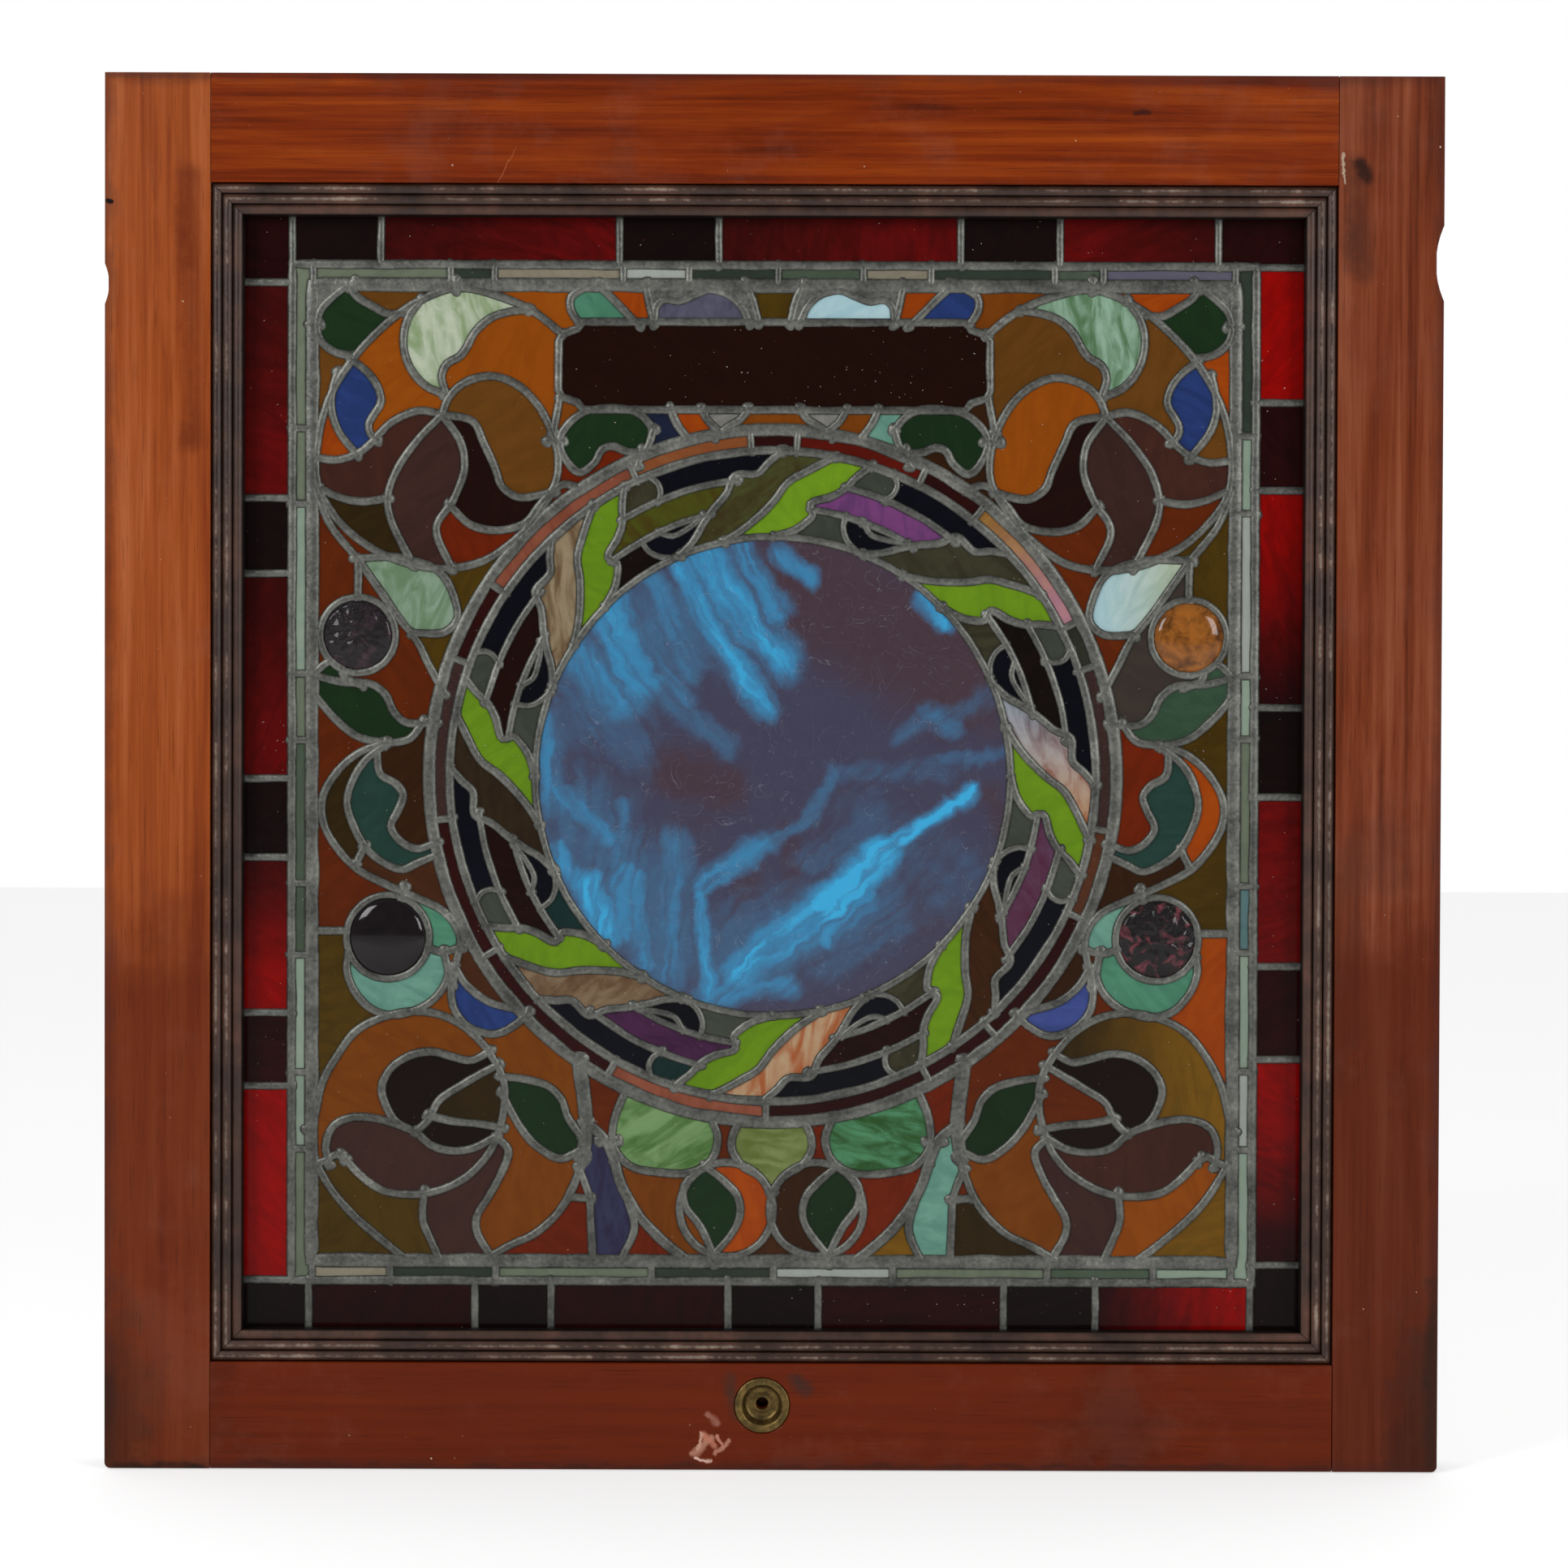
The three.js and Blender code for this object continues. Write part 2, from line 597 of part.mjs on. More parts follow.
// The sheet falls into pieces between the cames that go right through the panel
const clearOfCames = joined(loadBearing.map((shape) => plate(shape(jointGap), 0, cameDepth)));
const sheetShape = new THREE.Shape([[-1, -1], [1, -1], [1, 1], [-1, 1]].map(
  ([x, y]) => new THREE.Vector2(x * edgeLine[0], y * edgeLine[1])));
const panes = plate(sheetShape, flange, flange + glassThickness)
  .subtract(clearOfCames).asOriginal().simplify(mergeDistance).decompose();

// One point inside each piece of glass, and its colour
const bothSides = {
  flower_upper: [[-160, 250], 'opal'],
  flower_lower: [[-200, 160], 'plum'],
  corner_upper: [[-250, 262], 'green'],
  side_upper: [[-205, 100], 'opal'],
  stem_outer: [[-252, 115], 'green'],
  stem_inner: [[-213, 52], 'amber'],
  side_leaf: [[-230, 35], 'green'],
  side_scroll: [[-235, -25], 'sage'],
  side_lower: [[-250, -75], 'amber'],
  bloom: [[-208, -225], 'plum'],
  bloom_foot: [[-215, -258], 'amber'],
  corner_lower: [[-250, -268], 'dark'],
};
const seeds = {
  glass_disc: [[0, 0], 'blue'],
  glass_plaque: [[0, 233], 'dark'],
  glass_above_plaque: [[-8, 267], 'amber'],
  glass_below_plaque: [[-50, 200], 'amber'],
  glass_foot: [[0, -270], 'green'],
};
for (const [name, [at, colour]] of Object.entries(bothSides)) {
  seeds[`glass_${name}_left`] = [at, colour];
  seeds[`glass_${name}_right`] = [[-at[0], at[1]], colour];
}
const wreathSeeds = { glass_narrow_ring: [polar((wreathRadius + outerCame.radius) / 2, 0), 'ruby'] };
for (let k = 0; k < motifCount; k += 1) {
  const angle = firstMotif - 20 + 360 * k / motifCount;
  wreathSeeds[`glass_wreath_${k + 1}`] = [polar(acrossWreath(0.5), angle), 'dark'];
}
const stripMiddle = (borderLine[0] + fieldLine[0]) / 2;
const borderMiddle = [0, 1].map((axis) => (borderLine[axis] + edgeLine[axis]) / 2);
const borderSeeds = {
  glass_inner_strip: [[-stripMiddle, 0], 'sage'],
  glass_border_top: [[0, borderMiddle[1]], 'ruby'],
  glass_border_right: [[borderMiddle[0], 0], 'ruby'],
  glass_border_bottom: [[0, -borderMiddle[1]], 'ruby'],
  glass_border_left: [[-borderMiddle[0], 0], 'ruby'],
};

function holds(solid, point) {
  const { vertProperties: place, triVerts } = solid.getMesh();
  const corner = (n) => new THREE.Vector3(place[3 * n], place[3 * n + 1], 0);
  const spot = new THREE.Vector3(point.x, point.y, 0);
  for (let i = 0; i < triVerts.length; i += 3) {
    const triangle = new THREE.Triangle(...[0, 1, 2].map((j) => corner(triVerts[i + j])));
    if (triangle.getArea() > 1e-6 && triangle.containsPoint(spot)) return true;
  }
  return false;
}

const places = [
  ...Object.entries(seeds).map(([name, [at, colour]]) => [name, placed(at), colour]),
  ...Object.entries(wreathSeeds).map(([name, [at, colour]]) => [name, fitted(at), colour]),
  ...Object.entries(borderSeeds).map(([name, [at, colour]]) => [name, new THREE.Vector2(...at), colour]),
];
const glass = [];
const slivers = [];
const jewelSpots = [upperJewel, lowerJewel].flatMap(({ at }) => [at, ...mirrored([at])]).map(placed);
for (const pane of panes) {
  const place = places.find(([, spot]) => holds(pane, spot));
  if (place) {
    glass.push([place[0], pane, place[2]]);
  } else if (!jewelSpots.some((spot) => holds(pane, spot))) {
    slivers.push(pane);
  }
}

// Small gaps between cames are filled with solder
const solder = slivers.map((pane) => {
  const { min, max } = pane.boundingBox();
  const [x, y] = [0, 1].map((axis) => (min[axis] + max[axis]) / 2);
  const grow = 2 * jointGap;
  const size = [0, 1].map((axis) => (max[axis] - min[axis]) / 2 + grow);
  const shape = new THREE.Shape([[-1, -1], [1, -1], [1, 1], [-1, 1]].map(
    ([a, b]) => new THREE.Vector2(x + a * size[0], y + b * size[1])));
  return plate(shape, 0, cameDepth);
});

// Jewels, domed to the front

const aroundJewels = joined([
  clearOfCames,
  ...surface.map((shape) => plate(shape(jointGap), cameDepth - flange, cameDepth)),
  ...solder,
]);

function jewel({ radius }, centre) {
  const [edge, edgeUp] = fit.map((scale) => radius * sideShare * scale - jewelCameWidth / 2);
  const profile = new THREE.Path();
  profile.moveTo(0, 0);
  profile.lineTo(edge, 0);
  profile.lineTo(edge, jewelRim);
  profile.quadraticCurveTo(edge * 0.8, jewelCrown, 0, jewelCrown);
  const dome = new THREE.LatheGeometry(profile.getPoints(3), jewelSides, Math.PI / 2).rotateX(Math.PI / 2);
  return solidOf(dome.scale(1, edgeUp / edge, 1).translate(centre.x, centre.y, flange))
    .subtract(aroundJewels);
}

// Assembly

const came3d = joined([
  ...loadBearing.map((shape) => plate(shape(0), 0, cameDepth)),
  ...surface.map((shape) => plate(shape(0), cameDepth - flange + jointGap, cameDepth)),
  ...solder,
]);

const panel = new THREE.Group();
panel.rotation.x = Math.PI / 2;
panel.position.set(0, cameBack, panelHeight);
panel.add(named('lead_cames', geometryOf(came3d), leadGrey));
for (const [name, pane, colour] of glass) {
  panel.add(named(name, geometryOf(pane), { color: glassColours[colour], roughness: 0.15, metalness: 0 }));
}
for (const [name, gem, colours] of [
  ['jewel_upper', upperJewel, ['plum', 'amber']],
  ['jewel_lower', lowerJewel, ['dark', 'ruby']],
]) {
  ['left', 'right'].forEach((side, i) => {
    const centre = placed(i ? mirrored([gem.at])[0] : gem.at);
    panel.add(named(`${name}_${side}`, geometryOf(jewel(gem, centre)),
      { color: glassColours[colours[i]], roughness: 0.1, metalness: 0 }));
  });
}

const sash = new THREE.Group();
sash.add(named('stile_left', geometryOf(stile(-1)), mahogany));
sash.add(named('stile_right', geometryOf(stile(1)), mahogany));
sash.add(named('rail_top', geometryOf(rail(sashHeight - topRailWidth, topRailWidth, false)), mahogany));
sash.add(named('rail_bottom', geometryOf(bottomRail()), mahogany));
['top', 'right', 'bottom', 'left'].forEach((side, i) => {
  const [length, distance] = i % 2 ? [openingHalfHeight, openingHalfWidth]
    : [openingHalfWidth, openingHalfHeight];
  sash.add(named(`bead_${side}`, geometryOf(bead(i * Math.PI / 2, length, distance)), darkMahogany));
});
sash.add(named('brass_cup', geometryOf(brassCup()), oldBrass));

const window = new THREE.Group();
window.add(sash, panel);

export default window;
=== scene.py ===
import math
import random

import bmesh
import bpy
from mathutils import Matrix, Vector, noise
from mathutils.geometry import delaunay_2d_cdt


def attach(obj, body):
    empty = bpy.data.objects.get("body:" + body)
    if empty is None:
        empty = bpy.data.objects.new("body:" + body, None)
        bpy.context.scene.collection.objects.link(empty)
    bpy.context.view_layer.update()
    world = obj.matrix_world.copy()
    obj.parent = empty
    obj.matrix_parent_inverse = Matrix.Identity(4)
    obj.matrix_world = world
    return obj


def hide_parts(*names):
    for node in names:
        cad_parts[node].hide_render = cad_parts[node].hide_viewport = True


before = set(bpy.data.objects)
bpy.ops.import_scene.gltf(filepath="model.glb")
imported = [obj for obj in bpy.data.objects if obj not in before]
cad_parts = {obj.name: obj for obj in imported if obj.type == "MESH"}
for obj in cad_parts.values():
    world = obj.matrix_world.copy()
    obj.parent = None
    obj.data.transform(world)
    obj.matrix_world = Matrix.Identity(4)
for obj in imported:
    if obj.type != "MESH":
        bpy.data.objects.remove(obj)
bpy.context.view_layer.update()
random.seed(11)
mm = 0.001


def display(text):  # a colour as it shows on a screen, made linear
    parts = [int(text[i:i + 2], 16) / 255 for i in (0, 2, 4)]
    return tuple(c / 12.92 if c < 0.04045 else ((c + 0.055) / 1.055) ** 2.4 for c in parts)


def newObject(name, mesh):
    piece = bpy.data.objects.new(name, mesh)
    bpy.context.collection.objects.link(piece)
    return piece


def select(piece):
    bpy.ops.object.select_all(action="DESELECT")
    piece.select_set(True)
    bpy.context.view_layer.objects.active = piece


def smoothByAngle(piece, degrees):
    select(piece)
    bpy.ops.object.shade_smooth_by_angle(angle=math.radians(degrees))


# ---- shader helpers
class Wire:
    def __init__(self, tree, socket):
        self.tree = tree
        self.socket = socket

    def maths(self, operation, *others):
        node = self.tree.nodes.new("ShaderNodeMath")
        node.operation = operation
        for place, value in enumerate((self, *others)):
            plug(self.tree, node.inputs[place], value)
        return Wire(self.tree, node.outputs[0])

    def __add__(self, other):
        return self.maths("ADD", other)

    def __sub__(self, other):
        return self.maths("SUBTRACT", other)

    def __mul__(self, other):
        return self.maths("MULTIPLY", other)

    def __truediv__(self, other):
        return self.maths("DIVIDE", other)

    def __rsub__(self, other):
        return (self * -1) + other

    __radd__ = __add__
    __rmul__ = __mul__


def plug(tree, socket, value):
    if isinstance(value, Wire):
        tree.links.new(value.socket, socket)
    elif isinstance(value, tuple) and len(value) == 3 and len(socket.default_value) == 4:
        socket.default_value = (*value, 1)
    else:
        socket.default_value = value


class Finish:
    def __init__(self, name):
        self.material = bpy.data.materials.new(name)
        self.material.use_nodes = True
        self.tree = self.material.node_tree
        self.shader = self.tree.nodes["Principled BSDF"]

    def node(self, kind, settings=None, inputs=None, output=0):
        made = self.tree.nodes.new("ShaderNode" + kind)
        for key, value in (settings or {}).items():
            setattr(made, key, value)
        for key, value in (inputs or {}).items():
            plug(self.tree, made.inputs[key], value)
        return Wire(self.tree, made.outputs[output])

    def coordinates(self, scale=(1, 1, 1), source="Object", shift=(0, 0, 0)):
        place = self.node("TexCoord", output=source)
        return self.node("Mapping", inputs={"Vector": place, "Scale": scale, "Location": shift})

    def noise(self, where, scale, detail=3, roughness=0.5, distortion=0, output="Fac"):
        return self.node("TexNoise", inputs={
            "Vector": where, "Scale": scale, "Detail": detail, "Roughness": roughness,
            "Distortion": distortion}, output=output)

    def ramp(self, factor, stops):  # stops: place and colour
        made = self.tree.nodes.new("ShaderNodeValToRGB")
        while len(made.color_ramp.elements) < len(stops):
            made.color_ramp.elements.new(0.5)
        for element, (place, shade) in zip(made.color_ramp.elements, stops):
            element.position = place
            element.color = (*shade, 1)
        plug(self.tree, made.inputs[0], factor)
        return Wire(self.tree, made.outputs[0])

    def mix(self, factor, first, second):
        made = self.tree.nodes.new("ShaderNodeMix")
        made.data_type = "RGBA"
        plug(self.tree, made.inputs[0], factor)
        plug(self.tree, made.inputs[6], first)
        plug(self.tree, made.inputs[7], second)
        return Wire(self.tree, made.outputs[2])

    def window(self, value, low, high):  # 0 below low, 1 above high
        return self.node("MapRange", {"interpolation_type": "SMOOTHSTEP"}, {
            "Value": value, "From Min": low, "From Max": high})

    def bump(self, height, distance, strength=1.0):
        return self.node("Bump", inputs={"Height": height, "Distance": distance, "Strength": strength})

    def attribute(self, name):
        return self.node("Attribute", {"attribute_name": name}, output="Color")

    def split(self, source, name="Color"):  # the three numbers in a colour or a place
        kind = {"Color": "SeparateColor", "Vector": "SeparateXYZ"}[name]
        outputs = self.node(kind, inputs={name: source}).socket.node.outputs
        return [Wire(self.tree, output) for output in outputs]

    def set(self, **sockets):
        for name, value in sockets.items():
            plug(self.tree, self.shader.inputs[name.replace("_", " ")], value)
        return self.material


# ---- the drawing of the leads, in millimetres from the middle of the field, left side
def placesIn(text):  # "x,y x,y" as pairs of numbers
    return [tuple(float(part) for part in place.split(",")) for place in text.split()]


panel = {
    "middle": 397.5,
    "fit": (0.99847, 1.00582),
    "cameFront": -2.0, "glassFront": -0.2, "glassBack": 2.8, "cameBack": 4.6,
    "edge": (316.5, 332.0, 6.0), "border": (276.55, 292.05, 5.1), "field": (265.0, 280.5, 7.8),
    "ringDrop": 1.0,
    "rings": {"disc": (136.9, 4.2), "wreath": (186.0, 5.1), "outer": (198.0, 7.0)},
    "leadWidth": 4.6, "crossWidth": 4.2, "curlWidth": 3.6,
    "plaque": {"half": 124, "foot": 208, "top": 258, "area": 8000},
}

plaqueHalf = "0,258 -110,258 -113,254 -122,251 -124,247 -124,219 -122,215 -113,212 -110,208 0,208"

fieldLeads = {
    "rowOne": "-100,280 -110,277 -117,272 -117,265 -112,257",
    "rowTwo": "-104,280 -97,275 -89,267 -82,260 -77,256",
    "rowThree": "-74,280 -72,269 -69,257",
    "rowLeaf": "-69,258 -68,267 -63,271 -55,270 -47,273 -38,276.5 -27,274 -19,267 -14,257",
    "rowFour": "-17,281 -12,270 -9,257",
    "commaLeaf": "-69,197 -78,206 -94,209 -112,205 -123,192 -120,180 -112,172 -103,178 -99,185 -93,187 -84,184 "
        "-74,185 -69,197",
    "underOne": "-60,209 -56,200 -49,191",
    "underTwo": "-42,209 -38,202 -30,195",
    "underThree": "-15,209 -19,203 -27,198 -34,192",
    "leafTie": "-76,186 -78,176",
    "leafSideTie": "-121,190 -130,190",
    "voluteTie": "-183,276 -183,282",
    "cornerTie": "-261,256 -267,256",
    "budTie": "-89,-210 -99,-210",
    "plaqueTie": "-123,215 -127,195",
    "outerVolute": "-122,251 -139,264 -160,273 -183,277 -209,267 -233,247 -253,220 -262,192 -262,164 -251,145 "
        "-230,128 -201,118 -171,120 -143,139 -122,165 -111,163",
    "innerVolute": "-191,205 -187,215 -178,223 -162,227 -148,222 -136,211 -128,196 -124,180 -126,165 -135,153 "
        "-142,141 -145,134",
    "sidePetalTop": "-191,205 -204,207 -219,201 -237,184 -250,179 -263,180",
    "sidePetalFoot": "-262,163 -248,157 -236,155 -222,157",
    "middlePetalLeft": "-191,205 -206,189 -217,173 -222,157 -220,145 -207,118",
    "middlePetalRight": "-191,205 -180,189 -178,174 -184,157 -194,140 -185,117",
    "innerPetalTop": "-191,205 -173,201 -167,189 -160,174 -156,164 -147,158 -136,159 -126,162",
    "innerPetalFoot": "-187,154 -174,142 -159,139 -143,143 -135,153 -127,161",
    "crescentBack": "-203,271 -211,259 -213,245 -209,231 -200,221 -189,216",
    "crescentEdge": "-141,265 -152,263.5 -163,260 -172,252 -177,243 -181,238 -188,234 -191,227 -188,216",
    "blueLeafInner": "-244,237 -235,230 -228,221 -226,212 -230,205 -233,199 -232,194 -228,190",
    "blueLeafOuter": "-251,229 -254,217 -254,206 -250,195 -244,187 -239,181",
    "cornerLeafUpper": "-244,277 -240,272 -232,267 -222,262 -213,263",
    "cornerLeafOuter": "-241,281 -252,273 -261,264 -263,254 -260,246 -252,240 -242,238",
    "stem": "-264,163 -255,142 -239,122 -217,91 -205,76 -198,62 -189,45",
    "stemTie": "-239,123 -239,98",
    "paleLeaf": "-241,123 -214,123 -192,115 -183,99 -182,88 -189,81 -208,80",
    "commaCurl": "-264,57 -255,64 -249,62 -247,55 -236,50",
    "leafTop": "-264,56 -248,52 -231,51 -223,45 -218,35 -211,29 -194,29",
    "leafFoot": "-222,17 -239,21 -253,32 -264,45",
    "leafTongue": "-224,17 -209,20 -201,30",
    "scrollOuter": "-222,18 -238,12 -251,1 -259,-13 -259,-27 -252,-41 -240,-54 -224,-63 -205,-71 -188,-80 "
        "-180,-93 -182,-108 -184,-121",
    "scrollInner": "-224,16 -235,7 -242,-4 -245,-16 -241,-31 -233,-44 -222,-52 -213,-55 -204,-51 -193,-46",
    "tealEdge": "-228,14 -226,0 -217,-6 -213,-12 -216,-21 -220,-30 -214,-39 -205,-43 -193,-39",
    "scrollTie": "-240,-52 -235,-42",
    "jewelTie": "-264,-90 -243,-90",
    "jewelTopTie": "-214,-73 -212,-65",
    "crescentFoot": "-200,-99 -190,-102 -179,-99",
    "aquaLeafFoot": "-244,-103 -245,-112 -241,-124 -232,-134 -220,-138 -207,-136 -194,-128 -187,-116 -189,-101",
    "bluePetalFoot": "-183,-110 -185,-122 -183,-135 -174,-145 -160,-149 -147,-143 -140,-136",
    "bluePetalTop": "-183,-110 -176,-121 -164,-130 -146,-135",
    "bloomCircle": "-268,-204 -264,-197 -259,-177 -251,-162 -239,-147 -223,-139 -208,-136 -191,-138 -177,-145 "
        "-164,-158 -155,-174 -154,-189 -157,-203 -163,-217 -174,-229 -190,-238 -208,-241 -224,-239 -237,-230 "
        "-248,-218",
    "bloomCurl": "-246,-221 -251,-218 -256,-221 -264,-224",
    "bloomLowerLeft": "-264,-221 -255,-236 -245,-249 -230,-263 -209,-279",
    "bloomLowerRight": "-167,-279 -151,-270 -136,-263 -124,-252 -116,-240 -111,-227 -109,-213",
    "leafletFoot": "-108,-214 -122,-220 -134,-214 -145,-202 -156,-182",
    "leafletTop": "-157,-173 -141,-175 -128,-179 -121,-186 -117,-197 -108,-210",
    "darkPetal": "-162,-158 -173,-164 -184,-162 -196,-159 -208,-161 -219,-168 -225,-179 -223,-189 -217,-199 "
        "-205,-205",
    "fold": "-205,-205 -198,-198 -192,-187 -180,-179 -170,-173 -157,-166",
    "mauvePetal": "-255,-224 -257,-213 -253,-202 -242,-197 -226,-198 -205,-205",
    "midLine": "-198,-196 -184,-199 -171,-200 -154,-203",
    "lowLine": "-205,-205 -196,-213 -184,-216 -171,-214 -158,-207",
    "tongueLeft": "-200,-239 -201,-255 -197,-266 -191,-279",
    "tongueRight": "-159,-208 -152,-215 -156,-229 -163,-242 -170,-254 -170,-262 -160,-279",
    "bud": "-84,-180 -91,-199 -91,-213 -82,-224 -65,-228 -47,-228 -35,-221 -31,-209 -35,-196",
    "urn": "-19,-198 -23,-208 -23,-215 -17,-224 -7,-230 0,-239",
    "tearOuter": "-38,-224 -50,-235 -50,-246 -41,-259 -33,-275",
    "tearInner": "-38,-224 -27,-233 -20,-241 -18,-251 -22,-262 -33,-275",
    "petalOuter": "-111,-225 -105,-242 -104,-259 -103,-279",
    "petalInner": "-91,-222 -83,-244 -79,-260 -87,-279",
    "petalTie": "-116,-242 -104,-243",
    "tearTie": "-33,-275 -33,-281",
}
wideLeads = {
    "bloomStem": (8.0, "-109,-219 -107,-204 -108,-188 -111,-164"),
    "footBranch": (6.0, "-107,-200 -97,-208 -91,-220 -87,-234 -78,-250 -66,-264 -48,-279"),
}
circles = {
    "upperJewel": ((-239, 79), 21.6, 4.4), "lowerJewel": ((-221.5, -93.5), 23.8, 4.4),
    "twinCircle": ((-26, -249), 27.0, 4.6),
}
motif = {  # radius, and angle from the motif's own
    "leafBack": "186,-6 176,-1.5 168,2.2 158,4.8 150,7.8 143,11.5 137,17",
    "leafTeeth": "186,-12.5 177,-10.5 169,-9 163,-6.6 157,-2.7 151,-3.6 146,-2.2 141,0.3 137,5",
    "ribbedEdge": "186,3.5 179,6 173,8 173,12.5 164,14.5 156,18 149,21 142,24 137,28",
    "upperBand": "170.5,-33 170.5,-25 170.5,-17 170.5,-9",
    "lowerBand": "154,-26.5 154,-18 154,-10 154,-3",
    "outerCurl": "186,-17 180,-18.2 174,-18 170,-17",
    "innerCurl": "154,-10.5 147,-10.8 141,-12.5 137,-15.5",
    "innerLens": "154,-14.5 149,-17 150,-21 154,-25",
}
motifAngles = [40 + 45 * k for k in range(8)]
ringBreaks = [19, 27, 52, 63.5, 86, 94, 115, 146, 160, 187.5, 212, 241, 269, 297.5, 311, 335.5, 351]
borderBreaks = {
    "top": [-276.9, -226, -89, -32, 107, 164, 255], "right": [290, 213, 163, 39, -12, -109, -162, -280],
    "bottom": [-267, -171, -127, -25, 27, 134, 187, 276],
    "left": [280, 157, 114, -3, -48, -137, -179, -290],
}
stripBreaks = {
    "top": [-265, -186, -161, -87, -49, 2, 51, 90, 161, 189, 265],
    "right": [194, 150, 57, 21, -63, -101, -169, -214],
    "bottom": [-265, -220, -159, -69, 1, 70, 159, 220, 265],
    "left": [197, 154, 57, 19, -63, -104, -171, -215],
}


def flowing(points, step=2.4):  # a centripetal Catmull-Rom curve through the points
    if len(points) < 3:
        return straight(points, 5)
    ends = [2 * points[0] - points[1], *points, 2 * points[-1] - points[-2]]
    line = []
    for before, start, end, after in zip(ends, ends[1:], ends[2:], ends[3:]):
        knots = [0.0]
        for a, b in ((before, start), (start, end), (end, after)):
            knots.append(knots[-1] + max((b - a).length, 1e-6) ** 0.5)
        steps = max(1, round((end - start).length / step))
        for i in range(steps):
            t = knots[1] + (knots[2] - knots[1]) * i / steps
            mixes = [before, start, end, after]
            for level in (1, 2):
                mixes = [(a * (knots[j + level] - t) + b * (t - knots[j])) / (knots[j + level] - knots[j])
                         for j, (a, b) in enumerate(zip(mixes, mixes[1:]))]
            a, b = mixes
            line.append((a * (knots[2] - t) + b * (t - knots[1])) / (knots[2] - knots[1]))
    return line + [points[-1]]


def straight(points, step=5.0):
    line = []
    for a, b in zip(points, points[1:]):
        steps = max(1, round((b - a).length / step))
        line += [a.lerp(b, i / steps) for i in range(steps)]
    return line + [points[-1]]


def fitted(point):
    return Vector((point[0] * panel["fit"][0], point[1] * panel["fit"][1]))


def polar(radius, degrees):
    angle = math.radians(degrees)
    return Vector((radius * math.cos(angle), radius * math.sin(angle) - panel["ringDrop"]))


def circle(centre, radius, step=2.6):
    count = max(24, round(2 * math.pi * radius / step))
    middle = fitted(centre)
    return [middle + Vector((radius * panel["fit"][0] * math.cos(2 * math.pi * i / count),
                             radius * panel["fit"][1] * math.sin(2 * math.pi * i / count)))
            for i in range(count)]


def rectangle(halfWidth, halfHeight):
    corners = [Vector((x * halfWidth, y * halfHeight)) for x, y in ((-1, -1), (1, -1), (1, 1), (-1, 1))]
    return straight(corners + corners[:1], 6)[:-1]


# Each lead is its middle line, its width and whether it closes on itself
leads = []
for name in ("edge", "border", "field"):
    halfWidth, halfHeight, width = panel[name]
    leads.append((rectangle(halfWidth, halfHeight), width, True))
for radius, width in panel["rings"].values():
    leads.append((circle((0, -panel["ringDrop"]), radius), width, True))
for mirror in (1, -1):
    turned = lambda drawn: [fitted((mirror * x, y)) for x, y in drawn]
    for text in fieldLeads.values():
        leads.append((flowing(turned(placesIn(text))), panel["leadWidth"], False))
    for width, text in wideLeads.values():
        leads.append((flowing(turned(placesIn(text))), width, False))
    for (x, y), radius, width in circles.values():
        leads.append((circle((mirror * x, y), radius, 2.0), width, True))
plaqueLeft = placesIn(plaqueHalf)
plaqueLine = [fitted(p) for p in plaqueLeft] + [fitted((-x, y)) for x, y in plaqueLeft[-2:0:-1]]
leads.append((straight(plaqueLine + plaqueLine[:1])[:-1], panel["leadWidth"], True))
for angle in motifAngles:
    for name, text in motif.items():
        width = {"upperBand": "crossWidth", "lowerBand": "crossWidth"}.get(
            name, "leadWidth" if name.startswith(("leaf", "ribbed")) else "curlWidth")
        leads.append((flowing([fitted(polar(r, angle + a)) for r, a in placesIn(text)]), panel[width], False))
for angle in ringBreaks:
    leads.append((straight([fitted(polar(r, angle)) for r in (186, 198)]), panel["crossWidth"], False))


def crossLead(side, along, inner, outer):
    axis = 0 if side in ("left", "right") else 1
    sign = -1 if side in ("left", "bottom") else 1
    ends = []
    for rectangleName in (inner, outer):
        end = [along * panel["fit"][0], along * panel["fit"][1]]
        end[axis] = sign * panel[rectangleName][axis]
        ends.append(Vector(end))
    return straight(ends)


for side in borderBreaks:
    for along in borderBreaks[side]:
        leads.append((crossLead(side, along, "border", "edge"), panel["crossWidth"], False))
    for along in stripBreaks[side]:
        leads.append((crossLead(side, along, "field", "border"), panel["crossWidth"], False))
print("leads drawn:", len(leads))


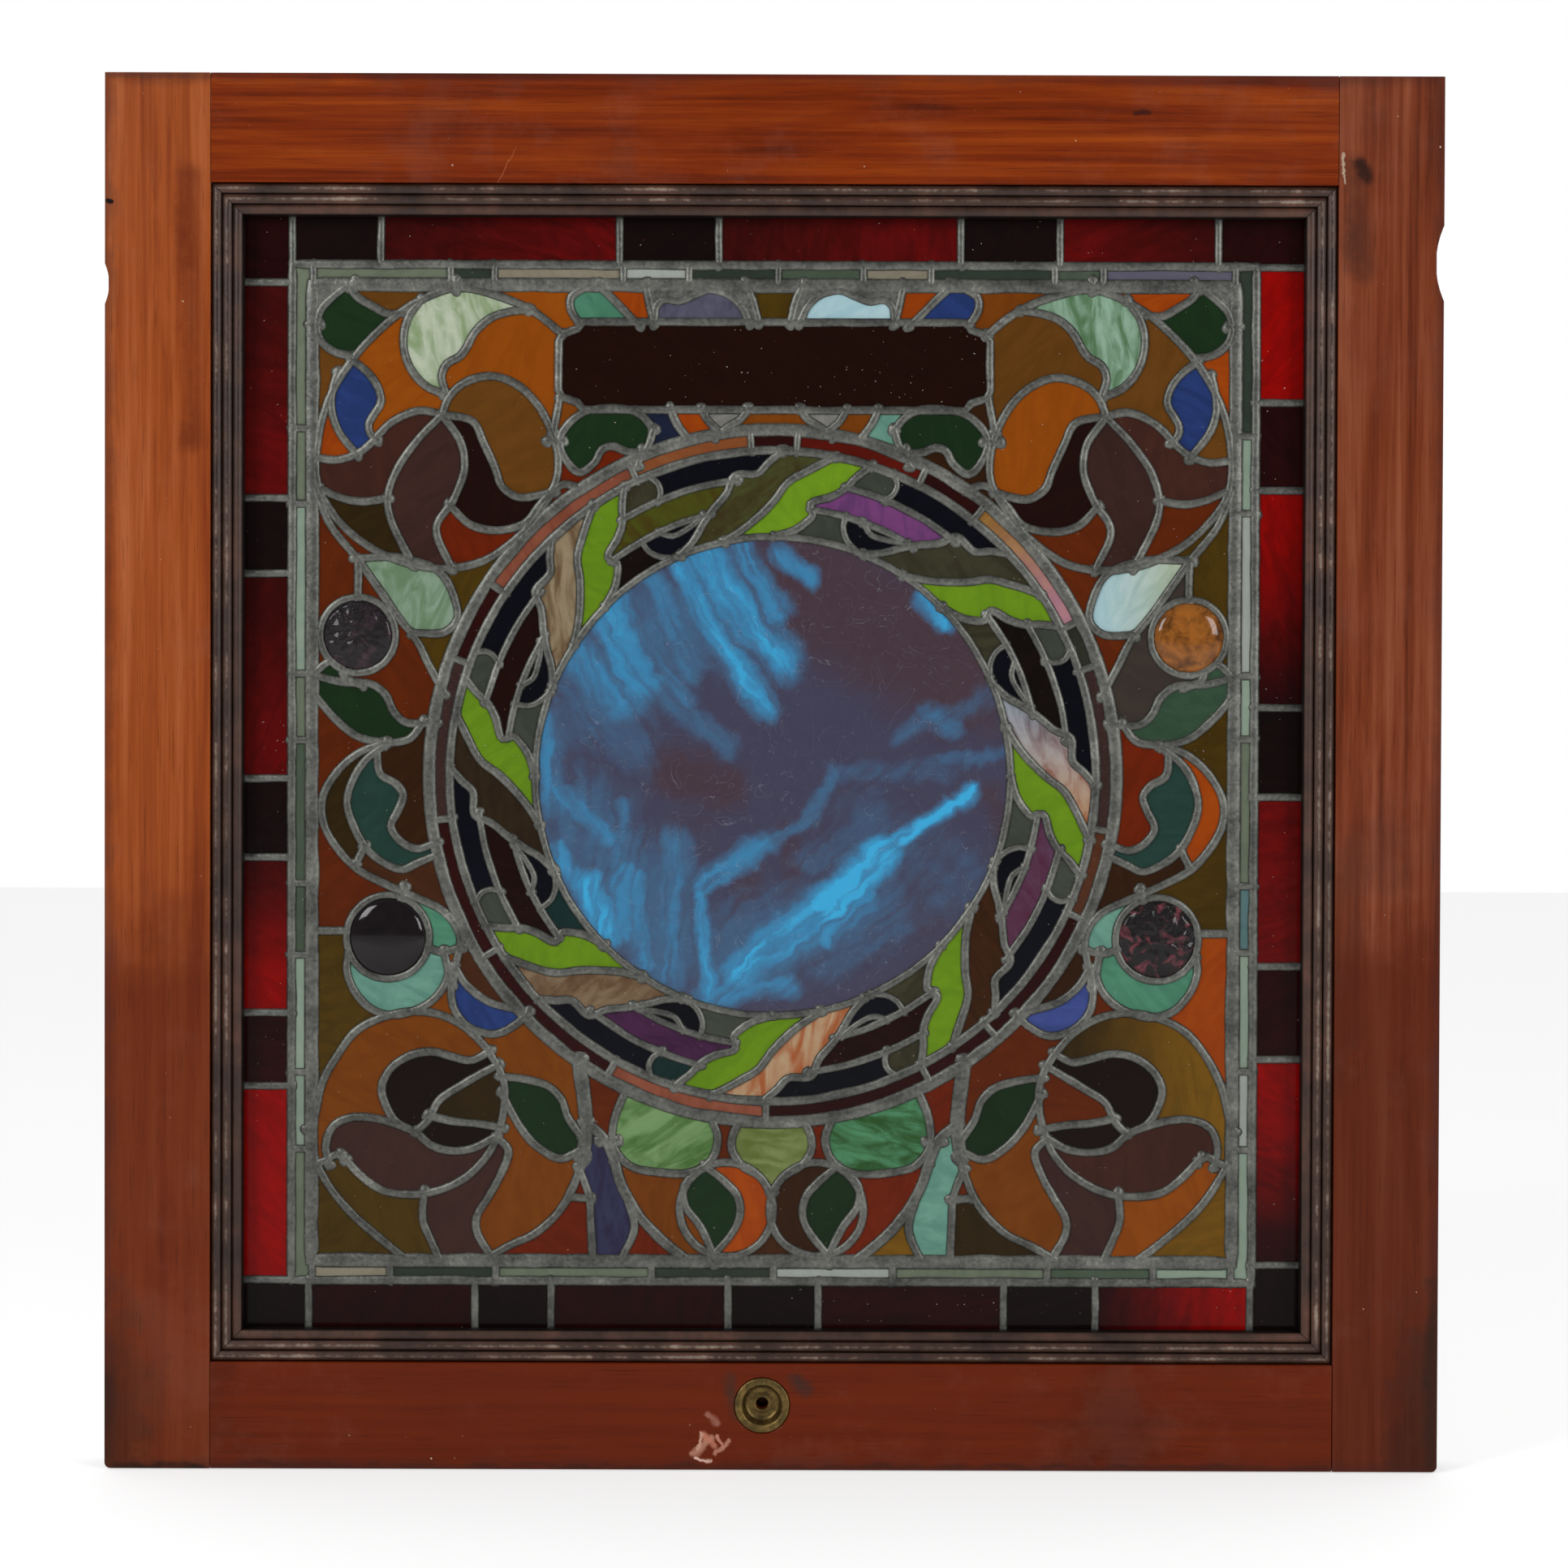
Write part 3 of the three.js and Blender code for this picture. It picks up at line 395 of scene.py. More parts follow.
# ---- panes: the sheet falls apart along the middles of the leads
def cutPanes():
    places, edges = [], []
    reach = 2.6
    for line, width, closed in leads:
        line = list(line)
        if not closed:
            line[0:0] = [line[0] + (line[0] - line[1]).normalized() * reach]
            line.append(line[-1] + (line[-1] - line[-2]).normalized() * reach)
        first = len(places)
        places += line
        edges += [(first + i, first + i + 1) for i in range(len(line) - 1)]
        if closed:
            edges.append((len(places) - 1, first))
    spots, links, triangles, _, linkSources, _ = delaunay_2d_cdt(places, edges, [], 0, 1e-3)
    walls = {tuple(sorted(link)) for link, source in zip(links, linkSources) if source}
    neighbours = {}
    for n, corners in enumerate(triangles):
        for a, b in zip(corners, corners[1:] + corners[:1]):
            neighbours.setdefault(tuple(sorted((a, b))), []).append(n)
    paneOf = [None] * len(triangles)
    panes = []
    for n in range(len(triangles)):
        if paneOf[n] is not None:
            continue
        paneOf[n] = len(panes)
        members, queue = [], [n]
        while queue:
            current = queue.pop()
            members.append(current)
            corners = triangles[current]
            for a, b in zip(corners, corners[1:] + corners[:1]):
                link = tuple(sorted((a, b)))
                if link in walls:
                    continue
                for other in neighbours[link]:
                    if paneOf[other] is None:
                        paneOf[other] = len(panes)
                        queue.append(other)
        panes.append([[Vector(spots[c]) for c in triangles[m]] for m in members])
    return panes


def area(corners):
    a, b, c = corners
    return abs((b - a).cross(c - a)) / 2


def holds(pane, point):
    for a, b, c in pane["triangles"]:
        signs = [(b - a).cross(point - a), (c - b).cross(point - b), (a - c).cross(point - c)]
        if min(signs) >= 0 or max(signs) <= 0:
            return True
    return False


smallPanes = {"dropped": 4, "soldered": 25}  # in square millimetres
panes = []
for triangles in cutPanes():
    total = sum(area(t) for t in triangles)
    biggest = max(triangles, key=area)
    middle = (biggest[0] + biggest[1] + biggest[2]) / 3
    if total > smallPanes["dropped"] and abs(middle.x) < panel["edge"][0] and abs(middle.y) < panel["edge"][1]:
        panes.append({"triangles": triangles, "area": total, "middle": middle})
print("panes:", len(panes))


# ---- kinds of glass: tint, second tint, share of the second, ripple, roughness
glassRows = [
    "ruby ae0803 5a0606 0.35 0.3 0.1", "rubyDeep 7c0f0e 3a0707 0.4 0.3 0.1",
    "maroon 4e0f0e 260706 0.5 0.3 0.1", "maroonDark 300a0b 170606 0.5 0.3 0.1",
    "black 120b0b 1f0c0c 0.4 0.4 0.1", "blueBlack 0b0c12 12141f 0.4 0.2 0.08",
    "amber 8a4a12 6b3208 0.4 0.25 0.12", "brightAmber a8560f 8a420c 0.4 0.25 0.12",
    "orange b5500f 8f340a 0.4 0.3 0.12", "rust 6e2c0c 51200b 0.45 0.25 0.12",
    "redRust 7c280a 561a08 0.45 0.25 0.12", "rustBrown 55301a 3c2112 0.45 0.25 0.12",
    "brown 3f2411 2c190c 0.45 0.25 0.12", "olive 57400f 3b2c0c 0.45 0.25 0.12",
    "oliveDark 3b2a10 28200e 0.45 0.25 0.12", "gold 8a6015 5e4410 0.45 0.25 0.12",
    "honey 744819 5e3a12 0.45 0.25 0.12", "ringPink c48c8c a878a0 0.4 0.3 0.15",
    "ringYellow b08a38 7a4020 0.4 0.3 0.15", "mauveGrey 4b423a 3a3230 0.45 0.3 0.15",
    "plum 482e29 36231f 0.45 0.25 0.12", "plumWarm 4e2c24 3a211b 0.45 0.25 0.12",
    "darkPlum 1f100d 150b0a 0.45 0.25 0.1", "darkMaroon 26100c 190b09 0.45 0.25 0.1",
    "plaqueBrown 240e06 1a0a06 0.5 0.1 0.1", "leafGreen 20381e 172a18 0.4 0.3 0.12",
    "crackleGreen 1f3f26 3c5f44 0.3 2.0 0.2", "teal 2b4b42 20342f 0.4 0.25 0.12",
    "blue 2f4684 1f2d58 0.45 0.3 0.12", "violetBlue 4a5aa0 2c3668 0.45 0.4 0.15",
    "nightBlue 232b42 161b2c 0.4 0.4 0.12", "purpleTexture 2d2a44 7c7c92 0.28 2.2 0.2",
    "purpleStreak 2c2036 3f4668 0.5 0.3 0.12", "aqua 7fb3a0 4e7f70 0.5 0.2 0.2",
    "aquaGreen 5c9a7c 3e7258 0.5 0.2 0.2", "iceWhite d0ecf2 8cc0cc 0.4 0.6 0.2",
    "whiteTexture 6d6a64 a3a29b 0.45 1.0 0.25", "opal d4dcc8 7f9a66 0.8 0.3 0.22",
    "greenOpal a8ccb4 3f6a34 0.85 1.0 0.2", "paleOpal 9db3a0 5f7f58 0.75 0.2 0.25",
    "greenSlag 3c6b22 8fb57a 0.85 0.2 0.2", "tealSlag 64a87c 2c4f16 0.85 0.2 0.2",
    "urnSlag 5c6c26 93a066 0.8 0.2 0.2", "brightLeaf 7ea621 55801a 0.35 0.2 0.22",
    "oliveGrey 4a4a36 2c2418 0.5 0.3 0.2", "bronzeGreen 3a2413 5d6a3a 0.35 0.3 0.2",
    "creamTan a8987a 5c3d22 0.8 0.3 0.25", "oliveBrown 3a2c1a 231812 0.5 0.3 0.2",
    "marbledTan 5c3c24 9a8468 0.7 0.3 0.22", "creamOrange c7b08c a84c12 0.85 0.3 0.25",
    "ribbedAmber 4c2a10 2b180c 0.5 0.5 0.2", "lilacOpal b2bcc8 4c5664 0.7 0.3 0.25",
    "pinkViolet 8a4a86 4a3560 0.5 0.25 0.2", "yellowGreenBrown 55601c 4a2312 0.5 0.25 0.2",
    "magentaPurple 5a2f55 2e1c34 0.5 0.25 0.2", "brownRed 2a100c 180a09 0.5 0.25 0.15",
    "wineLilac 5a1f38 6d5470 0.4 0.25 0.2", "brownBlack 1c110d 0f0b0a 0.5 0.25 0.15",
    "greyGreen 4a5046 33392f 0.45 0.6 0.25", "tealDark 1c3a38 12201f 0.4 0.5 0.2",
    "ringSalmon a4604a 7a3f2c 0.5 0.3 0.15", "ringAmber 8f4a26 a06a44 0.4 0.3 0.15",
    "ringRed 6b1a0c 4a1009 0.4 0.5 0.12", "ringDark 351210 260c0b 0.4 0.4 0.12",
    "ringGloss 2c0f09 3d1a10 0.4 3.0 0.05", "ringMottled 4a2413 6b4028 0.4 0.6 0.15",
    "ringGrey 26281f 3a3a30 0.4 0.6 0.15", "sage 7c8672 5f6a58 0.4 0.3 0.2",
    "darkSage 39443a 2a332b 0.4 0.3 0.2", "mint 9cac9a 7d9482 0.4 0.3 0.2", "cream 9a9280 7a735f 0.4 0.3 0.2",
    "lilacGrey 6a6876 565266 0.4 0.3 0.2", "stripGreen 556454 44523f 0.4 0.3 0.2",
    "paleWhite b4b9b2 9aa29b 0.4 0.5 0.25", "stripAqua 62807f 4c6a70 0.4 0.3 0.2",
]
glassKinds = {}
for name, tint, second, *nature in (row.split() for row in glassRows):
    glassKinds[name] = (tint, second, *map(float, nature))

# One point in each pane of the left half, its glass there and, where it differs, in its twin on the right
fieldGlass = [
    "-229,168 plumWarm", "-253,188 orange honey", "-240,-185 amber oliveDark>gold",
    "-250,109 rust olive", "-257,232 honey orange", "-256,60 leafGreen crackleGreen",
    "-213,-256 olive brightAmber", "-231,146 oliveDark rust", "-247,265 leafGreen", "-260,275 solder",
    "-253,-268 olive gold", "-256,-130 olive orange", "-247,-65 rust olive", "-231,37 leafGreen crackleGreen",
    "-206,-229 plum plumWarm", "-214,57 rust mauveGrey", "-220,-132 aqua aquaGreen", "-222,270 honey orange",
    "-240,-44 oliveDark orange", "-202,105 paleOpal iceWhite>opal", "-236,214 blue",
    "-213,220 brightAmber honey", "-200,-61 rustBrown brown", "-195,-91 aquaGreen aqua", "-228,-14 teal",
    "-215,-186 darkPlum", "-210,6 brown redRust", "-193,168 plum", "-196,259 opal greenOpal",
    "-196,-204 darkPlum", "-143,-164 amber rust", "-187,-251 plum", "-177,109 olive rust",
    "-167,-187 oliveDark rust", "-172,158 darkMaroon", "-145,242 brightAmber honey",
    "-168,-135 blue violetBlue", "-110,195 leafGreen", "-128,271 brightAmber amber",
    "-115,-268 redRust oliveDark", "-134,-230 amber",
    "-119,-215 leafGreen", "-104,268 aquaGreen blue", "-96,-249 purpleStreak aqua", "-65,-242 amber redRust",
    "-110,-234 redRust rust", "-78,270 orange", "-60,-208 greenSlag tealSlag", "-72,-270 redRust gold",
    "-68,203 nightBlue aqua", "-42,268 purpleTexture iceWhite", "-60,276 solder", "-43,-263 amber redRust",
    "-47,203 orange amber", "-27,-203 rust redRust", "-8,-241 orange brown", "-29,203 whiteTexture",
    "-40,-245 leafGreen", "-150,190 honey brightAmber", "-160,130 redRust rust", "-117,210 amber brown",
    "-122,171 redRust brown", "-252,168 plumWarm", "0,-220 urnSlag", "0,203 amber", "0,268 olive",
    "0,-274 rustBrown", "-120,163 redRust brown", "-190,20 brown redRust", "-95,-190 rust redRust",
]
wreathGlass = {  # a point of the motif, and the glass in each motif from the one at 40 degrees on
    "leaf": ((160, 1), "brightLeaf " * 8),
    "ribbed": ((162, 9), "oliveGrey bronzeGreen creamTan oliveBrown marbledTan creamOrange ribbedAmber "
        "creamOrange>lilacOpal"),
    "band": ((162, -18), "brownBlack pinkViolet yellowGreenBrown darkMaroon darkMaroon magentaPurple brownRed "
        "wineLilac"),
    "curl": ((178, -14.5), "greyGreen greyGreen oliveGrey greyGreen greyGreen tealDark oliveGrey greyGreen"),
    "loop": ((146, -6.5), "oliveGrey greyGreen brownBlack greyGreen tealDark greyGreen oliveGrey greyGreen"),
}
ringGlass = ("ringGrey ringPink>ringYellow ringDark ringRed ringDark ringAmber ringSalmon ringDark ringGloss "
             "ringDark ringDark ringSalmon ringDark ringDark ringDark ringMottled ringGloss")
borderGlass = {  # from the left to the right, and from the foot to the top
    "top": "maroonDark black maroon>rubyDeep black maroon>rubyDeep black rubyDeep>maroon maroonDark black",
    "right": "black maroonDark>ruby maroonDark rubyDeep black maroonDark>ruby maroonDark ruby black",
    "bottom": "black maroonDark black maroonDark black maroonDark black maroonDark>ruby black",
    "left": "black ruby maroonDark ruby>maroon black rubyDeep>maroon black rubyDeep>maroon maroonDark",
}
stripGlass = {
    "top": "sage sage darkSage cream paleWhite darkSage stripGreen cream darkSage stripGreen lilacGrey sage",
    "right": "mint paleWhite mint stripAqua sage mint paleWhite mint darkSage",
    "bottom": "sage cream darkSage sage darkSage paleWhite sage stripGreen mint sage",
    "left": "sage mint mint stripGreen stripGreen sage mint sage sage",
}


def sideAt(place, across, along):  # the side of a rectangular strip, pieces running like a pinwheel
    if place.y > along and place.x > -across:
        return "top", place.x / panel["fit"][0]
    if place.x > across and place.y < along:
        return "right", place.y / panel["fit"][1]
    if place.y < -along and place.x < across:
        return "bottom", place.x / panel["fit"][0]
    return "left", place.y / panel["fit"][1]


def glassOf(pane):
    middle = pane["middle"]
    radius = math.hypot(middle.x, middle.y + panel["ringDrop"])
    degrees = math.degrees(math.atan2(middle.y + panel["ringDrop"], middle.x)) % 360
    if abs(middle.x) > panel["border"][0] or abs(middle.y) > panel["border"][1]:
        side, along = sideAt(middle, panel["border"][0], panel["border"][1])
        return "border", borderGlass[side].split()[sum(mark < along for mark in borderBreaks[side])]
    if abs(middle.x) > panel["field"][0] or abs(middle.y) > panel["field"][1]:
        side = "top" if middle.y > panel["field"][1] else "bottom"
        if abs(middle.y) < panel["field"][1]:
            side = "left" if middle.x < 0 else "right"
        along = middle.x if side in ("top", "bottom") else middle.y
        return "strip", stripGlass[side].split()[sum(mark < along for mark in stripBreaks[side])]
    if radius < panel["rings"]["disc"][0]:
        return "disc", None
    if radius < panel["rings"]["wreath"][0]:
        for (r, a), kinds in wreathGlass.values():
            for angle, kind in zip(motifAngles, kinds.split()):
                if holds(pane, fitted(polar(r, angle + a))):
                    return "wreath", kind
        return "wreath", "blueBlack"
    if radius < panel["rings"]["outer"][0]:
        return "ring", ringGlass.split()[sum(mark < degrees for mark in ringBreaks) - 1]
    plaque = panel["plaque"]
    inPlaque = abs(middle.x) < plaque["half"] and plaque["foot"] < middle.y < plaque["top"]
    if inPlaque and pane["area"] > plaque["area"]:
        return "plaque", "plaqueBrown"
    zone = "fieldLeft" if middle.x < 0 else "fieldRight"
    for place, *kinds in (row.split() for row in fieldGlass):
        x, y = placesIn(place)[0]
        for sign, kind in ((1, kinds[0]), (-1, kinds[-1])):
            if holds(pane, fitted((sign * x, y))):
                return zone, kind
    return zone, None


for pane in panes:
    pane["zone"], pane["kind"] = glassOf(pane)
jewelSpots = [fitted((side * circles[name][0][0], circles[name][0][1]))
              for name in ("upperJewel", "lowerJewel") for side in (1, -1)]
for pane in panes:
    unnamed = pane["kind"] is None or pane["area"] < smallPanes["soldered"]
    if pane["zone"] != "disc" and unnamed and not any(holds(pane, spot) for spot in jewelSpots):
        pane["kind"] = "solder"
print("panes filled with solder:", sum(pane["kind"] == "solder" for pane in panes))


# ---- meshes
def panelSpot(point, depth):
    return Vector((point.x * mm, depth * mm, (panel["middle"] + point.y) * mm))


def meshFrom(name, vertices, faces, colours=None, uvs=None):
    mesh = bpy.data.meshes.new(name)
    mesh.from_pydata(vertices, [], faces)
    for title, values in (colours or {}).items():
        layer = mesh.color_attributes.new(title, "FLOAT_COLOR", "POINT")
        layer.data.foreach_set("color", [c for value in values for c in (*value, 1.0)])
    if uvs:
        layer = mesh.uv_layers.new(name="sheet")
        corners = [0] * len(mesh.loops)
        mesh.loops.foreach_get("vertex_index", corners)
        layer.data.foreach_set("uv", [c for v in corners for c in uvs[v]])
    mesh.validate()
    return newObject(name, mesh)


# In the thickness of a sheet the colours named above sink; no two sheets sink or lean quite alike
sheets = {"sink": 0.58, "sinkPlay": (0.9, 1.1), "lean": 0.004, "most": 0.25}


def glassPiece(name, zonePanes):  # each pane is a thin slab, leaning a little in its leads
    vertices, faces, uvs = [], [], []
    colours = {"tint": [], "streak": [], "grain": []}
    for pane in zonePanes:
        parts = [glassKinds[kind] for kind in pane["kind"].split(">")]
        amount, ripple, rough = parts[0][2:]
        shade = random.uniform(*sheets["sinkPlay"]) * sheets["sink"]
        ends = [[Vector(display(text)) * shade for text in part[:2]] for part in (parts[0], parts[-1])]
        spots = [p for t in pane["triangles"] for p in t]
        reaches = [(min(p[i] for p in spots), max(p[i] for p in spots)) for i in (0, 1)]
        axis = 0 if reaches[0][1] - reaches[0][0] > reaches[1][1] - reaches[1][0] else 1
        low, high = reaches[axis]
        turn, shiftX, shiftY = (random.uniform(0, 6.28), random.uniform(0, 5), random.uniform(0, 5))
        lean = Vector((random.uniform(-1, 1), random.uniform(-1, 1))) * sheets["lean"]
        numbers, links = {}, {}
        for corners in pane["triangles"]:
            a, b, c = corners
            ordered = corners if (b - a).cross(c - a) > 0 else (a, c, b)
            keys = [(round(p.x, 4), round(p.y, 4)) for p in ordered]
            for key in keys:
                if key not in numbers:
                    numbers[key] = len(vertices)
                    spot = Vector(key)
                    tilt = max(-sheets["most"], min(sheets["most"], lean.dot(spot - pane["middle"])))
                    vertices += [panelSpot(spot, panel["glassFront"] + tilt),
                                 panelSpot(spot, panel["glassBack"] + tilt)]
                    along = (spot[axis] - low) / (high - low)
                    along = along * along * (3 - 2 * along)
                    for _ in range(2):
                        uvs.append(((spot.x * math.cos(turn) - spot.y * math.sin(turn)) * mm + shiftX,
                                    (spot.x * math.sin(turn) + spot.y * math.cos(turn)) * mm + shiftY))
                        colours["tint"].append(ends[0][0].lerp(ends[1][0], along))
                        colours["streak"].append(ends[0][1].lerp(ends[1][1], along))
                        colours["grain"].append((amount, ripple / 3, rough))
            a, b, c = (numbers[key] for key in keys)
            faces += [(a, b, c), (a + 1, c + 1, b + 1)]
            for start, end in ((a, b), (b, c), (c, a)):
                if (end, start) in links:
                    del links[(end, start)]
                else:
                    links[(start, end)] = True
        faces += [(end, start, start + 1, end + 1) for start, end in links]
    return meshFrom(name, vertices, faces, colours, uvs)


cames = {"sink": 0.25, "wobble": 0.35, "widthPlay": 0.10, "fineWidthPlay": 0.05, "heightPlay": 0.12,
         "spread": 1.1, "waves": 0.06, "fineWaves": 0.3,
         "front": [(-0.5, 0), (-0.47, 0.5), (-0.32, 0.86), (0, 1), (0.32, 0.86), (0.47, 0.5), (0.5, 0)],
         "back": [(-0.5, 0), (-0.42, 0.7), (0, 1), (0.42, 0.7), (0.5, 0)]}
solder = {"level": 0.72, "share": 0.66, "play": (0.3, 1.3), "stretch": (0.85, 1.15), "lobes": 0.08, "sides": 12,
          "dome": [(1.0, 0), (0.84, 0.45), (0.5, 0.76), (0.0, 0.86)], "lift": 1.02}


def leadRibbons(front):  # rounded strips along the leads, with a little play of a hand-made sheet
    vertices, faces = [], []
    profile = cames["front" if front else "back"]
    base = panel["glassFront"] + cames["sink"] if front else panel["glassBack"] - cames["sink"]
    rise = (panel["cameFront"] if front else panel["cameBack"]) - base
    for n, (line, width, closed) in enumerate(leads):
        count = len(line)
        rows = []
        for i, point in enumerate(line):
            before = line[i - 1] if i or closed else point
            after = line[(i + 1) % count] if i < count - 1 or closed else point
            along = (after - before).normalized()
            across = Vector((-along.y, along.x))
            play = noise.noise(Vector((point.x * cames["waves"], point.y * cames["waves"], n * 3.1)))
            fine = noise.noise(Vector((point.x * cames["fineWaves"], point.y * cames["fineWaves"], n * 1.7)))
            middle = point + across * play * cames["wobble"]
            broad = width * cames["spread"] * (1 + cames["widthPlay"] * play + cames["fineWidthPlay"] * fine)
            high = rise * (1 - cames["heightPlay"] * (0.5 + 0.5 * fine))
            rows.append(len(vertices))
            vertices += [panelSpot(middle + across * u * broad, base + high * h) for u, h in profile]
        pairs = list(zip(rows, rows[1:] + (rows[:1] if closed else [])))
        for here, there in pairs[:None if closed else count - 1]:
            for j in range(len(profile) - 1):
                quad = (here + j, there + j, there + j + 1, here + j + 1)
                faces.append(quad if front else quad[::-1])
    joints = [(end, width * solder["share"] + random.uniform(*solder["play"]))
              for line, width, closed in leads if not closed for end in (line[0], line[-1])]
    for pane in panes:  # small gaps between leads are floated full of solder
        if pane["kind"] == "solder":
            for corners in pane["triangles"]:
                a, b, c = corners
                first = len(vertices)
                vertices += [panelSpot(p, base + rise * solder["level"]) for p in corners]
                turned = (b - a).cross(c - a) > 0
                faces.append((first, first + 1, first + 2) if turned == front
                             else (first, first + 2, first + 1))
    sides, dome = solder["sides"], solder["dome"]
    for centre, radius in joints:
        first = len(vertices)
        stretch, turn = random.uniform(*solder["stretch"]), random.uniform(0, 3.14)
        for r, h in dome[:-1]:
            for k in range(sides):
                angle = 2 * math.pi * k / sides
                reach = radius * r * (1 + solder["lobes"] * math.sin(3 * angle + turn))
                offset = Matrix.Rotation(turn, 2) @ Vector((reach * math.cos(angle) * stretch,
                                                            reach * math.sin(angle)))
                vertices.append(panelSpot(centre + offset, base + rise * h * solder["lift"]))
        vertices.append(panelSpot(centre, base + rise * dome[-1][1]))
        top = len(vertices) - 1
        for k in range(sides):
            following = (k + 1) % sides
            for level in range(2):
                quad = (first + level * sides + k, first + level * sides + following,
                        first + (level + 1) * sides + following, first + (level + 1) * sides + k)
                faces.append(quad if front else quad[::-1])
            tip = (first + 2 * sides + k, first + 2 * sides + following, top)
            faces.append(tip if front else tip[::-1])
    return meshFrom("leadFaces" if front else "leadBacks", vertices, faces)


def repaired(piece, merged=0.0):  # doubles within this distance merged, faces turned outward
    work = bmesh.new()
    work.from_mesh(piece.data)
    if merged:
        bmesh.ops.remove_doubles(work, verts=work.verts, dist=merged)
    bmesh.ops.recalc_face_normals(work, faces=work.faces)
    work.to_mesh(piece.data)
    work.free()


def placed(piece, material, slot, *nodes):
    piece.data.materials.append(material)
    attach(piece, "root")
    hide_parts(*nodes)


edges = {  # widths and heights in metres; feet are the sharp corners past side and below top
    "bevel": 0.0009, "segments": 2, "sharp": 35, "foot": 0.0032, "footSegments": 5,
    "side": 0.380, "top": 0.001, "long": 0.01, "merged": 0.00002,
}


def dressed(node, name):  # a copy of a solid with eased edges, and worn round at the lower outer corners
    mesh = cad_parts[node].data.copy()
    piece = newObject(name, mesh)
    mesh.materials.clear()
    work = bmesh.new()
    work.from_mesh(mesh)
    bmesh.ops.remove_doubles(work, verts=work.verts, dist=edges["merged"])
    bmesh.ops.dissolve_limit(work, angle_limit=math.radians(1), verts=work.verts, edges=work.edges)
    feet = [edge for edge in work.edges
            if all(abs(v.co.x) > edges["side"] and v.co.z < edges["top"] for v in edge.verts)
            and abs(edge.verts[0].co.y - edge.verts[1].co.y) > edges["long"]]
    if feet:
        bmesh.ops.bevel(work, geom=feet, offset=edges["foot"], segments=edges["footSegments"], profile=0.5,
                        affect="EDGES")
    work.to_mesh(mesh)
    work.free()
    if "custom_normal" in mesh.attributes:
        mesh.attributes.remove(mesh.attributes["custom_normal"])
    easing = piece.modifiers.new("easing", "BEVEL")
    easing.width = edges["bevel"]
    easing.segments = edges["segments"]
    easing.limit_method = "ANGLE"
    easing.angle_limit = math.radians(edges["sharp"])
    smoothByAngle(piece, edges["sharp"])
    piece.modifiers.new("evenShading", "WEIGHTED_NORMAL").keep_sharp = True
    select(piece)
    for modifier in list(piece.modifiers):
        bpy.ops.object.modifier_apply(modifier=modifier.name)
    return piece


moulding = {"width": 17.5, "front": -16.0, "back": -2.3, "reeds": 3, "rise": 1.7, "step": 1.3, "gap": 0.3,
            "opening": (321.0, 336.5), "steps": 9, "mitre": 0.51, "stretches": 60}


def reededBead(name, turn):
    section = [(0.0, moulding["back"], 0.0)]
    reed = moulding["width"] / moulding["reeds"]
    for n in range(moulding["reeds"]):
        level = moulding["front"] + moulding["rise"] + n * moulding["step"]
        for i in range(moulding["steps"] + 1):
            t = i / moulding["steps"]
            crest = math.sin(math.pi * t)
            section.append(((n + t) * reed, level - moulding["rise"] * crest ** 0.75, crest))
    section.append((moulding["width"], moulding["back"], 0.0))
    long, reach = moulding["opening"] if turn % 2 == 0 else moulding["opening"][::-1]
    vertices, faces, ridge = [], [], []
    stretches = moulding["stretches"]
    for i in range(stretches + 1):
        for across, depth, crest in section:
            half = long - across - moulding["mitre"]
            x, z = half * (2 * i / stretches - 1), reach - moulding["gap"] - across
            for _ in range(turn):
                x, z = z, -x
            vertices.append(panelSpot(Vector((x, z)), depth))
            ridge.append((crest, across / moulding["width"], i / stretches))
    count = len(section)
    for i in range(stretches):
        for j in range(count):
            here, there = i * count + j, i * count + (j + 1) % count
            faces.append((here, here + count, there + count, there))
    faces += [tuple(range(count)), tuple(range(stretches * count, (stretches + 1) * count))[::-1]]
    piece = meshFrom(name, vertices, faces, {"ridge": ridge})
    repaired(piece)
    smoothByAngle(piece, 50)
    return piece


def lathe(name, profile, centre, sides):  # turned about Y; profile of radius and depth
    vertices, faces = [], []
    count = len(profile)
    for k in range(sides):
        angle = 2 * math.pi * k / sides
        for radius, depth in profile:
            vertices.append(Vector((centre[0] + radius * math.cos(angle) * mm, depth * mm,
                                    centre[1] + radius * math.sin(angle) * mm)))
    for k in range(sides):
        for j in range(count - 1):
            here, there = k * count + j, ((k + 1) % sides) * count + j
            faces.append((here, there, there + 1, here + 1))
    piece = meshFrom(name, vertices, faces)
    repaired(piece, 0.000005)
    return piece


# ---- finishes
def glassFinish():
    finish = Finish("art_glass")
    share, ripple, rough = finish.split(finish.attribute("grain"))
    sheet = finish.coordinates((1, 3.2, 1), source="UV")
    streaks = finish.window(finish.noise(sheet, 26, 5, 0.55, 1.4), 0.36, 0.66) * share
    mottle = finish.noise(finish.coordinates(source="UV"), 160, 3, 0.6)
    colour = finish.mix(streaks, finish.attribute("tint"), finish.attribute("streak"))
    colour = finish.mix(mottle * 0.5, colour, finish.attribute("streak"))
    # pale specks: seed bubbles in the sheet, with painted glints of light on them
    seedsAndGlints = finish.window(finish.noise(finish.coordinates(source="Object"), 620, 1, 0.4), 0.775, 0.80)
    colour = finish.mix(seedsAndGlints * 0.4, colour, display("b4aca2"))
    waves = finish.noise(finish.coordinates((1, 1.6, 1), source="UV"), 95, 2, 0.5, 0.6)
    pits = finish.noise(finish.coordinates(source="UV"), 420, 2, 0.5)
    height = (waves * 0.6 + pits * ripple * 0.9) * ripple
    return finish.set(Base_Color=colour, Roughness=rough + mottle * 0.06,
                      Normal=finish.bump(height, 0.0012, 0.9), Specular_IOR_Level=0.07,
                      Coat_Weight=finish.window(ripple, 0.15, 0.35), Coat_Roughness=0.06)


